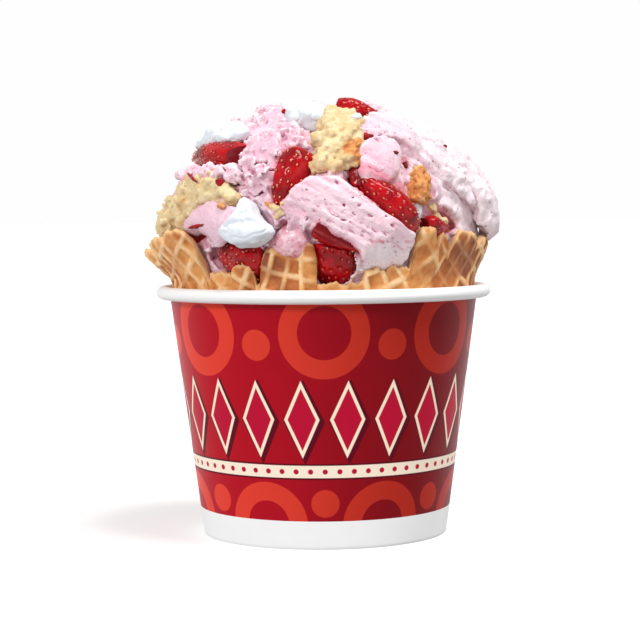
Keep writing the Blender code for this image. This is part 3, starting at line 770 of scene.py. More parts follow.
def foldCoordinates(points):  # along, across and out of the nearest fold, and the share of its half width
    count = iceCream["samples"]
    origins, axes, lengths, widths = [], [], [], []
    for path, width in iceCream["folds"]:
        middles = [onHeap(*along(path, i / (count - 1))) for i in range(count)]
        gone = 0.0
        for i, middle in enumerate(middles):
            ahead = (middles[min(i + 1, count - 1)] - middles[max(i - 1, 0)]).normalized()
            out = outward(*along(path, i / (count - 1))[:2])
            side = ahead.cross(out).normalized()
            gone += (middle - middles[max(i - 1, 0)]).length
            origins.append(middle)
            axes.append((ahead, side, side.cross(ahead)))
            lengths.append(gone + 41.0 * len(lengths) // count)
            widths.append(width / 2)
    tree = kdtree.KDTree(len(origins))
    for i, origin in enumerate(origins):
        tree.insert(origin, i)
    tree.balance()
    nearest = np.array([tree.find(Vector(p))[1] for p in points])
    origins, axes = np.array(origins)[nearest], np.array(axes)[nearest]
    local = np.einsum("nij,nj->ni", axes, points - origins)
    local[:, 0] += np.array(lengths)[nearest]
    return local, local[:, 1] / np.array(widths)[nearest]


def treeOf(objects):  # for distances to the surfaces of some objects, in millimetres
    corners, faces = [], []
    for obj in objects:
        first = len(corners)
        corners += [vert.co / mm for vert in obj.data.vertices]
        faces += [[first + i for i in face.vertices] for face in obj.data.polygons]
    return BVHTree.FromPolygons(corners, faces)


def nearestOn(tree, points, reach):  # nearest points, faces, and distances that stop at the reach
    found, distances = points.copy(), np.full(len(points), float(reach))
    faces = np.zeros(len(points), int)
    for i, point in enumerate(points):
        spot, _, face, distance = tree.find_nearest(Vector(point), reach)
        if spot is not None:
            found[i] = spot
            distances[i] = distance
            faces[i] = face
    return found, faces, distances


def makeSlab(shape):  # a face scraped by the scoop, between an upper and a lower edge
    alongCount, acrossCount = shape["steps"]
    deselectAll()
    bpy.ops.mesh.primitive_grid_add(x_subdivisions=alongCount, y_subdivisions=acrossCount, size=2)
    slab = bpy.context.object
    start = readPoints(slab) * mm
    upper = [(*spot, 0) for spot in shape["upper"]]
    lower = [(*spot, 0) for spot in shape["lower"]]
    points = []
    for x, y, _ in start:
        u, v = (x + 1) / 2, (y + 1) / 2
        spot = along(lower, u).lerp(along(upper, u), v)
        least, middle, most = shape["proud"]
        proud = (least * (1 - v) + most * v) + (middle - (least + most) / 2) * 4 * v * (1 - v)
        proud -= 2.6 * abs(2 * u - 1) ** 6 + 1.6 * (1 - v) ** 8
        proud += 0.5 * noise.noise(Vector((u * 4, v * 2, shape["seed"])))
        ragged = 1.1 * noise.noise(Vector((u * 9, v * 1.2, shape["seed"] + 5))) * (2 * v - 1)
        points.append(onHeap(spot.x, spot.y + ragged, proud))
    writePoints(slab, np.array(points))
    modify(slab, "SOLIDIFY", thickness=0.005, offset=-1.0)
    return slab


def scatterLumps(surface, toppings):  # crumbs of frozen cream on the torn places
    chance = random.Random(5)
    ball, ballFaces = ballPattern()
    corners, faces = [], []
    for bearings, elevations, count, sizes, spin, shape in iceCream["lumps"]:
        for _ in range(count):
            bearing, elevation = chance.uniform(*bearings), chance.uniform(*elevations)
            size = sizes[0] + (sizes[1] - sizes[0]) * chance.random() ** 2
            turned = seat(bearing, elevation, 0, spin + chance.gauss(0, 22), chance.gauss(0, 25)).to_3x3()
            stretch = [size * part * chance.uniform(0.7, 1.25) for part in shape]
            start = onHeap(bearing, elevation, 15)
            spot, normal, _, _ = surface.ray_cast(start, Vector((0, 0, heap["centre"])) - start)
            if spot is None or toppings.find_nearest(spot)[3] < size + 0.7:
                continue
            first = len(corners)
            for p in ball:
                uneven = 1 + 1.1 * noise.noise(Vector(p) * 1.9 + spot)
                reach = turned @ Vector([c * w * uneven for c, w in zip(p, stretch)])
                corners.append(spot + normal * (size * 0.15) + reach)
            faces += [[first + i for i in face] for face in ballFaces]
    return meshObject("lumps", corners, faces)


bowlRoom = {"behindSheet": 2.0, "atEdge": 1.2, "overEdge": 7.5, "rounding": 6.0, "below": 96}


def roomInBowl(points):  # pulls points in behind the waffle, and rounds them off over its edge
    bearings = np.arange(-180, 181, 1.0)
    flats = np.arange(30.0, 68.0, 0.5)
    edge = np.array([tornHeight(b) for b in bearings]) + waffle["rimFlat"]
    edge = sum(np.roll(edge[:-1], k) for k in (-2, -1, 0, 1, 2)) / 5  # without its finest teeth
    edge = np.append(edge, edge[0])
    middle = sheetMiddle(np.repeat(bearings, len(flats)), np.tile(flats, len(bearings)))
    radius = np.hypot(middle[:, 0], middle[:, 1]).reshape(len(bearings), -1)
    height = middle[:, 2].reshape(len(bearings), -1)
    bearing = np.degrees(np.arctan2(points[:, 0], -points[:, 1]))
    place = np.clip(np.rint(bearing + 180).astype(int), 0, 360)
    out = points.copy()
    for i in np.nonzero(points[:, 2] < bowlRoom["below"])[0]:
        k = place[i]
        z = points[i, 2]
        limit = np.interp(z, height[k], radius[k]) - bowlRoom["behindSheet"]
        top = np.interp(edge[k], flats, height[k])
        here = math.hypot(points[i, 0], points[i, 1])
        if z > top:
            over = 1 - math.exp((top - z) / bowlRoom["rounding"])
            limit += bowlRoom["atEdge"] + bowlRoom["overEdge"] * over
        if limit < here:
            out[i, :2] *= limit / here
    return out


def makeIceCream():
    scoop = cadCopy("ice_cream", "iceCream")
    kinds = ("strawberry", "cake", "cream")
    toppings = treeOf([o for n, o in frame["nodes"].items() if n.split("_")[0] in kinds])
    slabs = [makeSlab(shape) for shape in iceCream["slabs"]]
    facesOfSlab = [len(slab.data.polygons) for slab in slabs]
    slabTree = treeOf(slabs)
    lumps = scatterLumps(treeOf([scoop]), toppings)
    joined([scoop, lumps] + slabs, "iceCream")
    modify(scoop, "REMESH", mode="VOXEL", voxel_size=iceCream["voxel"] * mm)
    thin(scoop, readPoints(scoop)[:, 2] < 70, iceCream["hiddenShare"])
    modify(scoop, "SMOOTH", factor=0.5, iterations=2)
    points, normals = readPoints(scoop), readNormals(scoop)
    shown = points[:, 2] > 72
    visible = points[shown]
    bearing = np.degrees(np.arctan2(visible[:, 0], -visible[:, 1]))
    rise = visible - (0, 0, heap["centre"])
    level = np.degrees(np.arcsin(rise[:, 2] / np.linalg.norm(rise, axis=1)))

    def patch(middle, height, wide, tall, power=2):  # 1 in the middle of a patch of the heap, fading to 0
        across = np.abs(turnBetween(bearing, middle) / wide)
        return np.exp(-across ** power - np.abs((level - height) / tall) ** power)

    # painted light: patches coloured paler where the heap lies in shade
    pale = sum(patch(*spot, power=4) for spot in iceCream["pale"])
    start, end, halfWidth = iceCream["pitted"]
    run = np.hypot(end[0] - start[0], end[1] - start[1])
    way = np.array(end) - start
    gone = ((bearing - start[0]) * way[0] + (level - start[1]) * way[1]) / run ** 2
    aside = ((bearing - start[0]) * way[1] - (level - start[1]) * way[0]) / run
    pitted = np.exp(-(aside / halfWidth) ** 2) * ramp(gone, -0.15, 0.1) * (1 - ramp(gone, 1.0, 1.2))
    local, share = foldCoordinates(visible)
    _, faces, toSlab = nearestOn(slabTree, visible, 2.0)
    scraped = 1 - ramp(toSlab, 0.5, 1.3)
    firstFace = 0
    melted = np.zeros(len(visible))
    for shape, count in zip(iceCream["slabs"], facesOfSlab):
        mine = (faces >= firstFace) & (faces < firstFace + count)
        melted[mine] = shape["melted"] * scraped[mine]
        scraped[mine] *= shape["smooth"]
        firstFace += count
    edgeLip = ramp(np.abs(share), 0.45, 0.85) * (1 - ramp(np.abs(share), 0.9, 1.15))
    onFold = 1 - ramp(np.abs(share), 0.9, 1.5)
    turn = Matrix.Rotation(math.radians(iceCream["strokeSlope"]), 3, "Y")
    tilted = visible @ np.array(turn)  # its first axis runs down to the right
    grooves = clouds(tilted * (0.12, 1, 1.0), 2.0, 21) * 0.5
    grooves += clouds(tilted * (0.2, 1, 1.0), 0.85, 22) * 0.26
    streaks = clouds(local * (0.16, 1.0, 1.0), 1.9, 11) * 0.4
    streaks += clouds(local * (0.3, 1.0, 1.0), 0.9, 12) * 0.2
    torn = ramp(clouds(visible, 10, 13), -0.35, 0.3)
    bent = visible + np.stack([clouds(visible, 3.0, k) for k in (23, 24, 25)], -1) * 1.6
    crags = 1.0 - 3.2 * np.abs(clouds(bent, 4.4, 14)) ** 0.8 - 1.3 * np.abs(clouds(bent, 2.0, 15)) + 0.5
    fine = clouds(bent, 0.95, 16) * 0.3
    pits = -1.6 * ramp(clouds(bent * (1, 1, 1.6), 1.9, 17), 0.36, 0.62)
    pits *= ramp(clouds(visible, 7, 18), -0.2, 0.2)
    pits *= 1 - 0.85 * pale
    crags *= torn * (0.75 - 0.4 * pale)
    rough = edgeLip * 0.4 + streaks * onFold * (1 - 0.4 * torn) + crags + fine + pits + 0.1
    holes = -1.2 * ramp(clouds(tilted * (0.6, 1, 1.2), 1.4, 19), 0.34, 0.62)
    holes *= ramp(clouds(visible, 7, 20), -0.1, 0.2)
    holes -= 0.5 * pitted * ramp(clouds(tilted * (0.6, 1, 1.2), 1.15, 27), 0.12, 0.5)
    height = rough * (1 - scraped) * (1 - 0.85 * melted) + scraped * (grooves + holes) * (1 - melted)
    moved = roomInBowl(visible + normals[shown] * height[:, None])
    spots, _, distances = nearestOn(toppings, moved, iceCream["reach"])
    pull = 0.9 * (1 - ramp(distances, 0.4, iceCream["reach"]))
    moved += (spots - moved) * pull[:, None]
    points[shown] = moved
    berries = treeOf([o for n, o in frame["nodes"].items() if n.startswith("strawberry")])
    _, _, toBerry = nearestOn(berries, moved, 5.0)
    # painted shade: lilac shade colour in cloudy spots away from the lit right side, and on the listed
    # patches
    tinted = ramp(clouds(moved, 15, 26), 0.1, 0.5) * 0.5 * (np.abs(turnBetween(bearing, 60)) > 60)
    for middle, height, wide, tall, share in iceCream["lilacShadePatches"]:
        tinted = np.maximum(tinted, share * patch(middle, height, wide, tall))
    smeared = sum(share * patch(*spot) for *spot, share in iceCream["smears"])
    masks = {
        "stain": np.clip(1 - toBerry / 5.0, 0, 1) ** 2 + smeared, "scraped": scraped, "melted": melted,
        "tinted": tinted, "pale": pale, "pitted": pitted * scraped,
        "flecks": patch(*iceCream["flecks"]) * scraped,
    }
    writePoints(scoop, points)
    for name, values in masks.items():
        whole = np.zeros(len(points))
        whole[shown] = values
        paint(scoop, name, whole)
    paint(scoop, "hollow", hollows(scoop, 14))
    paint(scoop, "dent", hollows(scoop, 3))
    scoop.data.calc_loop_triangles()
    modify(scoop, "DECIMATE", ratio=iceCream["triangles"] / len(scoop.data.loop_triangles))
    writePoints(scoop, readPoints(scoop))
    finishPiece(scoop, "iceCream", strawberryIce(), "ice_cream", ["ice_cream"])
    print("ice cream has", len(scoop.data.polygons), "faces")


def strawberryIce():
    ice = Finish("strawberryIce", Roughness=0.5, Specular_IOR_Level=0.35)
    place = ice.place()
    cloudy = ice.noise(place, 9.0, 2.0)
    mottle = ice.noise(place, 1.6, 4.0, 0.6)
    colour = ice.mix(cloudy.between(0.35, 0.65), ink(240, 206, 217), ink(229, 184, 200))
    colour = ice.mix(ice.painted("scraped") * 0.5, colour, ink(243, 212, 221))
    colour = ice.mix(ice.painted("melted"), colour, ink(230, 194, 207))
    # painted light: near white on the pale patches, which lie in shade
    colour = ice.mix(ice.painted("pale") * 0.85, colour, ink(251, 238, 242))
    # painted shade: the ice cream's lilac shade colour
    colour = ice.mix(ice.painted("tinted").between(0.15, 0.9), colour, ink(222, 176, 192))
    # painted highlight on the crests and painted shade in the hollows, from how far each point lies under
    # its smoothed surroundings
    reliefShading = ice.painted("hollow") + ice.painted("dent") * 2 + mottle * 0.3 - 0.15
    colour = ice.mix((reliefShading * -1).between(0.05, 0.6) * 0.7, colour, ink(252, 238, 242))
    # the pale patches get less painted shade
    shown = 1 - ice.painted("pale") * 0.6
    colour = ice.mix(reliefShading.between(0.04, 0.5) * 0.8 * shown, colour, ink(206, 132, 160))
    colour = ice.mix(reliefShading.between(0.4, 1.0) * shown, colour, ink(150, 62, 96))
    x, y, z = ice.axes(place)
    line, run = x * 0.47 + z * 0.88, x * 0.88 - z * 0.47  # across the scoop's strokes, and along them
    stroke = ice.node("ShaderNodeCombineXYZ", {}, {"X": line * 0.8, "Y": run * 0.07, "Z": y * 0.3})
    streak = ice.noise(stroke, 1.6, 2.0).between(0.56, 0.68) * ice.painted("scraped")
    colour = ice.mix(streak * 0.5, colour, ink(230, 160, 184))
    stained = (ice.painted("stain") + mottle * 0.5 - 0.35).between(0.2, 0.9)
    colour = ice.mix(stained * 0.6, colour, ink(224, 92, 116))
    specks = 1 - ice.cells(place, 2.3).between(0.1, 0.18)
    specks = specks * ice.noise(place, 5.0, 1.0).between(0.5, 0.58)
    colour = ice.mix(specks * 0.8, colour, ink(176, 50, 84))
    grain = ice.node("ShaderNodeCombineXYZ", {}, {"X": line, "Y": run * 0.5, "Z": y * 0.5})
    pores = 1 - ice.cells(grain, 1.15).between(0.16, 0.34)
    pores = pores * ice.painted("pitted") * ice.noise(place, 2.4, 1.0).between(0.4, 0.56)
    colour = ice.mix(pores * 0.7, colour, ink(196, 126, 156))
    flecks = ice.noise(grain, 1.7, 2.0).between(0.56, 0.66) * ice.painted("flecks")
    ice.set("Base Color", ice.mix(flecks * 0.85, colour, ink(206, 52, 76)))
    ice.set("Roughness", mottle * 0.25 + 0.36 - ice.painted("melted") * 0.2)
    ice.bump(mottle + ice.noise(place, 0.5, 2.0) * 0.5 - pores * 0.8, 0.45, 0.8)
    return ice.material


makeIceCream()
print("ice cream made")


# strawberries

berries = {
    "strawberry_left": ((-58, 38, 1.9, 178, -28), 32, 10.5, 7, "half"),
    "strawberry_centre": ((-12.5, 33, 2.4, -110, 0), 19, 11, 7, "half"),
    "strawberry_top": ((54, 73.5, 2.4, -54, 0), 17, 7, 5, "half"),
    "strawberry_right": ((22, 23.2, 2.4, 133, -8), 26, 10, 7, "whole"),
    "strawberry_low_left": ((-33.5, 4.4, -2.0, 174, 0), 20, 14.5, 9, "whole"),
    "strawberry_low_centre": ((4.4, 2.6, -3.0, -93, 0), 17, 18, 9, "half"),
    "strawberry_low_right": ((46, 14.0, -0.6, -4, 0), 14, 7, 6, "half"),
    "strawberry_slice_centre": ((5.0, 9.6, -0.4, -27, -6), 17, 4.6, 2.6, "slice"),
    "strawberry_slice_left": ((-53, 11.5, -2.6, 6, 30), 13, 6, 4, "slice"),
    "strawberry_coated": ((-12.6, 9.6, -0.6, -165, 0), 14.5, 10, 6.5, "half"),
    "strawberry_back_right": ((118, 27, 2.6, 35, 0), 26, 13, 8, "half"),
    "strawberry_back_low": ((152, 6, -5.4, 170, 0), 18, 12, 8, "half"),
    "strawberry_back": ((176, 34, 2.4, -65, 0), 24, 13, 8, "half"),
    "strawberry_back_left": ((-122, 17, 2.2, 15, 0), 24, 12, 8, "half"),
    "strawberry_back_top": ((150, 67, 2.0, 80, 0), 17, 10, 6, "half"),
}
berry = {
    "columns": 112,
    "rows": 84,
    "taper": 0.36,
    "hullCut": 0.43,
    "sliceSkin": 0.55,
    "seedGap": 1.75,
    "dimple": 0.42,
    "dimpleWidth": 0.52,
    "seed": (0.38, 0.23, 0.15),
    "missingSeeds": 0.1,
    "pale": (("strawberry_low_centre", 0.9), ("strawberry_right", 0.45), ("strawberry_low_left", 0.4),
             ("strawberry_left", 0.5), ("strawberry_low_right", 0.8)),
}


def berryPoint(x, y, z, length, width, depth):  # from a point of the unit ball
    taper = 1 - (0.8 if depth < 3.5 else berry["taper"]) * x
    uneven = 1 + 0.07 * noise.noise(Vector((x, y, z)) * 1.6 + Vector((length, width, 0)))
    return Vector((x * length / 2, y * taper * width / 2, z * taper * depth)) * uneven


def seedSpots(length, width, depth):  # staggered rings of seeds down the skin
    chance = random.Random(round(length * 10 + width))
    rings = max(4, round(length / berry["seedGap"] / 0.95))
    for i in range(1, rings):
        middle = math.pi * i / rings
        girth = (width + 2 * depth) / 2 * 1.6 * math.sin(middle) * (1 + berry["taper"] * 0.4)
        count = max(3, round(girth * 1.25 / berry["seedGap"]))
        for k in range(count):
            if chance.random() < berry["missingSeeds"]:
                continue
            turn = math.tau * (k + 0.5 * (i % 2) + chance.uniform(-0.18, 0.18)) / count
            polar = middle + chance.uniform(-0.2, 0.2) / rings * math.pi
            x, ring = math.cos(polar), math.sin(polar)
            here = (x, ring * math.cos(turn), ring * math.sin(turn))
            there = (x - 0.02, ring * math.cos(turn), ring * math.sin(turn))
            wide = (x, ring * math.cos(turn + 0.03), ring * math.sin(turn + 0.03))
            spot = berryPoint(*here, length, width, depth)
            tip = (spot - berryPoint(*there, length, width, depth)).normalized()
            sideways = (berryPoint(*wide, length, width, depth) - spot).normalized()
            yield spot, tip, tip.cross(sideways).normalized()


def oneSeed():
    deselectAll()
    bpy.ops.mesh.primitive_uv_sphere_add(segments=8, ring_count=5, radius=1)
    seed = bpy.context.object
    points = readPoints(seed) * mm
    points *= berry["seed"]
    points[:, 1] *= 1 - 0.45 * points[:, 0] / berry["seed"][0]
    faces = [list(face.vertices) for face in seed.data.polygons]
    bpy.data.objects.remove(seed)
    return points, faces


def isCutAway(spot, planes):  # true on a cut face and beyond it
    return any((spot - Vector(co)).dot(Vector(no).normalized()) > -0.45 for co, no in planes)


def makeBerry(node, seedShape):
    place, length, width, depth, cut = berries[node]
    deselectAll()
    bpy.ops.mesh.primitive_uv_sphere_add(segments=berry["columns"], ring_count=berry["rows"], radius=1)
    body = bpy.context.object
    start = readPoints(body) * mm
    start = start[:, (2, 1, 0)] * (1, 1, -1)  # its poles along the berry
    points = np.array([berryPoint(*p, length, width, depth) for p in start])
    spots = list(seedSpots(length, width, depth))
    tree = kdtree.KDTree(len(spots))
    for i, (spot, _, _) in enumerate(spots):
        tree.insert(spot, i)
    tree.balance()
    away = np.array([tree.find(Vector(p))[2] for p in points])
    inward = points / np.maximum(np.linalg.norm(points, axis=1, keepdims=True), 1e-6)
    pucker = berry["dimple"] * np.exp(-(away / berry["dimpleWidth"]) ** 2)
    points -= inward * pucker[:, None]
    top = berry["sliceSkin"] * depth if cut == "slice" else depth
    planes = [((0, 0, -0.12 * depth), (0, 0, -1))]
    if cut != "whole":
        planes.append(((-berry["hullCut"] * length, 0, 0), (-1, 0, 0.15)))
    if cut == "slice":
        planes.append(((0, 0, top), (0.08, 0, 1)))
    skin = np.ones(len(points))
    for spot, normal in planes:
        normal = np.array(Vector(normal).normalized())
        beyond = np.maximum((points - np.array(spot)) @ normal, 0)
        points -= normal * beyond[:, None]
        skin[beyond > 0] = 0
    paint(body, "skin", skin)
    core = 1 - np.linalg.norm(points * (2 / length, 2 / width, 1 / depth) * (0.9, 1, 1), axis=1)
    if cut == "slice":  # dark flesh with a pale streak along it
        core = 0.3 * np.exp(-((points[:, 1] + 0.9) / 0.7) ** 2)
    paint(body, "core", np.clip(core, 0, 1))
    put = seat(*place) @ Matrix.Translation((0, 0, -top))
    placed = np.array([put @ Vector(p) for p in points])
    writePoints(body, roomInBowl(placed) if place[1] < 8 else placed)
    paint(body, "shade", 0.7 * ramp(placed[:, 0], 6.0, 9.0) * (node == "strawberry_low_centre"))
    paint(body, "film", (1 - ramp(placed[:, 0], -31, -27)) * (node == "strawberry_low_left"))
    paint(body, "band", ramp(placed[:, 2], 90, 92))
    name = titled(node, "berry")
    finish = coatedSkin if node == "strawberry_coated" else berrySkin
    finishPiece(body, name, finish, "strawberry", [node], sharp=38)
    corners, faces = seedShape
    found, foundFaces = [], []
    for spot, tip, out in spots:
        if node == "strawberry_coated" or isCutAway(spot, planes):
            continue
        axes = Matrix((tip, out.cross(tip), out)).transposed()
        first = len(found)
        found += [put @ (spot - out * (berry["dimple"] * 0.75) + axes @ Vector(c)) for c in corners]
        foundFaces += [[first + i for i in face] for face in faces]
    return found, foundFaces


def berryMaterial():
    skin = Finish("berrySkin", Roughness=0.2, Specular_IOR_Level=0.08, Coat_Weight=0.28, Coat_Roughness=0.05)
    skin.shader.inputs["Subsurface Weight"].default_value = 0.12
    skin.shader.inputs["Subsurface Scale"].default_value = 0.001
    place = skin.place()
    blotches = skin.noise(place, 5.0, 3.0)
    fleshy = skin.noise(place, 1.0, 3.0, 0.6)
    red = skin.mix(blotches.between(0.3, 0.7), ink(188, 8, 20), ink(128, 4, 14))
    film = skin.painted("film") * fleshy.between(0.35, 0.6)
    red = skin.mix(film * 0.8, red, ink(198, 112, 152))
    red = skin.mix(skin.painted("shade"), red, ink(64, 3, 12))
    paleness = (skin.painted("core") + fleshy * 0.25).between(0.25, 0.95)
    flesh = skin.mix(paleness, ink(118, 8, 20), ink(206, 104, 92))
    skin.set("Base Color", skin.mix(skin.painted("skin"), flesh, red))
    skin.set("Roughness", fleshy * 0.14 + 0.1)
    skin.bump(fleshy, 0.14, 0.8)
    return skin.material


def coatedMaterial():  # fruit seen through a film of melted cream
    skin = Finish("coatedSkin", Roughness=0.2, Coat_Weight=0.2, Coat_Roughness=0.1)
    place = skin.place()
    spots = skin.cells(place, 1.9)
    rings = spots.between(0.16, 0.24) * (1 - spots.between(0.26, 0.36))
    milky = skin.noise(place, 3.0, 2.0).between(0.35, 0.65)
    colour = skin.mix(milky, ink(240, 204, 214), ink(226, 150, 166))
    colour = skin.mix(rings * 0.6, colour, ink(196, 84, 104))
    colour = skin.mix(skin.painted("band") * 0.7, colour, ink(196, 84, 92))
    skin.set("Base Color", colour)
    skin.bump(skin.noise(place, 1.5, 2.0), 0.15, 0.5)
    return skin.material


def seedMaterial():
    husk = Finish("seedHusk", Roughness=0.3)
    place = husk.place()
    colour = husk.mix(husk.noise(place, 1.5), ink(236, 184, 128), ink(216, 120, 84))
    husk.set("Base Color", husk.mix(husk.painted("faded"), colour, ink(196, 22, 30)))
    return husk.material


berrySkin, coatedSkin = berryMaterial(), coatedMaterial()
seedShape = oneSeed()
seedPoints, seedFaces, seedTones = [], [], []
for node in berries:
    found, foundFaces = makeBerry(node, seedShape)
    seedTones += [dict(berry["pale"]).get(node, 0)] * len(found)
    seedFaces += [[len(seedPoints) + i for i in face] for face in foundFaces]
    seedPoints += found
seeds = meshObject("berrySeeds", seedPoints, seedFaces)
writePoints(seeds, readPoints(seeds))
paint(seeds, "faded", seedTones)
finishPiece(seeds, "berrySeeds", seedMaterial(), "strawberry")
print("strawberries made, with", len(seedFaces), "seed faces")


# lobes that cream, cake and small bits are built up from


def addLobe(place, lobe, seed, rough=0.0):  # one rounded lump: middle, half sizes, squareness, turns
    middle, radii, power, turns = lobe
    deselectAll()
    bpy.ops.mesh.primitive_ico_sphere_add(subdivisions=4, radius=1)
    lump = bpy.context.object
    ways = readPoints(lump) * mm
    ways /= (np.abs(ways) ** power).sum(1, keepdims=True) ** (1 / power)
    uneven = 1 + rough * clouds(ways, 0.8, seed)
    shape = ways * radii * uneven[:, None]
    turn = Matrix.Identity(3)
    for axis, degrees in zip("XYZ", turns):
        turn = Matrix.Rotation(math.radians(degrees), 3, axis) @ turn
    shape = shape @ np.array(turn).T + middle
    writePoints(lump, np.array([place @ Vector(p) for p in shape]))
    return lump


def crumble(obj, chance, count, sizes, out):  # sets small irregular crumbs all over a piece
    points, normals = readPoints(obj), readNormals(obj)
    ball, ballFaces = ballPattern()
    corners, faces = [], []
    for _ in range(count):
        i = chance.randrange(len(points))
        size = sizes[0] + (sizes[1] - sizes[0]) * chance.random() ** 2
        stretch = [size * chance.uniform(0.6, 1.2) for _ in range(3)]
        first = len(corners)
        for p in ball:
            uneven = 1 + 0.9 * noise.noise(Vector(p) * 1.7 + Vector(points[i]))
            reach = [c * w * uneven for c, w in zip(p, stretch)]
            corners.append(points[i] + normals[i] * size * out + reach)
        faces += [[first + k for k in face] for face in ballFaces]
    return joined([obj, meshObject("crumbs", corners, faces)], obj.name)


# sponge cake

cakes = {
    "cake_left": {
        "brown": 0.36, "seed": 1, "crumbs": 90,
        "lumps": ((-63, 26.5, 0.4, 3.4), (-65, 21.5, 0.2, 3.2), (-58, 24, 1.2, 3.4), (-46, 24.5, 1.4, 3.0),
                  (-38, 26, 1.2, 2.6), (-33.5, 23, 1.0, 2.4), (-54, 19.5, 0.6, 3.0)),
    },
    "cake_low_left": {
        "brown": 0.34, "seed": 2, "crumbs": 60,
        "lumps": ((-62, 18, 0.4, 2.8), (-68, 13, -0.2, 2.8), (-57, 15, 0.2, 2.4), (-72, 19, -0.4, 2.8)),
    },
    "cake_top": {
        "brown": 0.4, "seed": 3, "crumbs": 120,
        "lumps": ((-0.5, 35, 1.6, 2.8), (2.5, 38.5, 2.0, 3.0), (5.5, 34.5, 1.2, 2.4), (11.5, 37.0, 1.4, 2.8),
                  (15, 41, 1.8, 2.6), (14.5, 46, 2.2, 2.8), (-1.5, 45, 1.8, 2.2), (2, 52, 1.6, 2.6),
                  (9, 58, 1.8, 2.8), (16.5, 36.6, 0.6, 2.0)),
    },
    "cake_right": {
        "brown": 0.9, "seed": 4, "crumbs": 50,
        "lumps": ((37, 24.5, 0.4, 1.6), (40, 32.5, 0.6, 1.5)),
    },
    "cake_back": {
        "brown": 0.4, "seed": 5, "crumbs": 100,
        "lumps": ((133, 44, 1.5, 3.4), (149, 51, 1.5, 3.0)),
    },
    "cake_back_left": {
        "brown": 0.42, "seed": 6, "crumbs": 100,
        "lumps": ((-160, 20, 1.0, 3.2), (-144, 27, 1.0, 3.2)),
    },
}


def makeCake(node, settings):
    seed = 20 + settings["seed"] * 3
    crumb = cadCopy(node, node)
    lobes = [crumb]
    for k, (bearing, elevation, proud, size) in enumerate(settings["lumps"]):
        place = seat(bearing, elevation, proud - size * 0.5, 0, 0)
        lobe = ((0, 0, 0), (size, size * 0.85, size), 2.6, (0, 0, 31 * k))
        lobes.append(addLobe(place, lobe, seed + k, 0.3))
    joined(lobes, node)
    modify(crumb, "REMESH", mode="VOXEL", voxel_size=0.0009)
    crumb = crumble(crumb, random.Random(seed), settings["crumbs"], (0.5, 1.5), 0.1)
    modify(crumb, "REMESH", mode="VOXEL", voxel_size=0.00042)
    modify(crumb, "SMOOTH", factor=0.5, iterations=2)
    points, normals = readPoints(crumb), readNormals(crumb)
    lumps = clouds(points, 4.2, seed) * 0.5 + clouds(points, 2.0, seed + 1) * 0.45
    holes = -0.8 * ramp(clouds(points, 1.5, seed + 2), 0.3, 0.75)
    fine = clouds(points, 0.7, seed + 1) * 0.28
    height = lumps + holes + fine + 0.15
    writePoints(crumb, points + normals * height[:, None])
    paint(crumb, "hollow", hollows(crumb, 8))
    browned = ramp(clouds(points, 5.0, seed + 2) * 0.5 + settings["brown"], 0.42, 0.8)
    if node == "cake_top":  # its lowest right corner is baked darkest
        corner = np.linalg.norm(points - np.array(onHeap(13.5, 38.5, 1)), axis=1)
        browned = np.maximum(browned * 0.5, 1.6 * (1 - ramp(corner, 2.0, 5.5)))
    paint(crumb, "brown", np.clip(browned, 0, 1.2))
    finishPiece(crumb, titled(node, "cake"), spongeCake, "sponge_cake", [node])


def cakeMaterial():
    sponge = Finish("spongeCake", Roughness=0.8, Subsurface_Weight=0.1, Subsurface_Scale=0.0015)
    place = sponge.place()
    mottle = sponge.noise(place, 1.2, 4.0, 0.65)
    patches = sponge.noise(place, 3.5, 2.0)
    golden = (mottle * 0.5 + patches * 0.5).between(0.38, 0.62)
    colour = sponge.mix(golden, ink(230, 210, 168), ink(214, 184, 132))
    baked = sponge.mix(mottle.between(0.35, 0.65), ink(220, 158, 90), ink(190, 110, 58))
    colour = sponge.mix(sponge.painted("brown").between(0.1, 1.0), colour, baked)
    shaded = (sponge.painted("hollow") + mottle * 0.12).between(0.08, 0.55)
    sponge.set("Base Color", sponge.mix(shaded * 0.55, colour, ink(202, 160, 100)))
    sponge.bump(mottle, 0.25, 0.7)
    return sponge.material


spongeCake = cakeMaterial()
for node, settings in cakes.items():
    makeCake(node, settings)
print("cake made")


# whipped cream

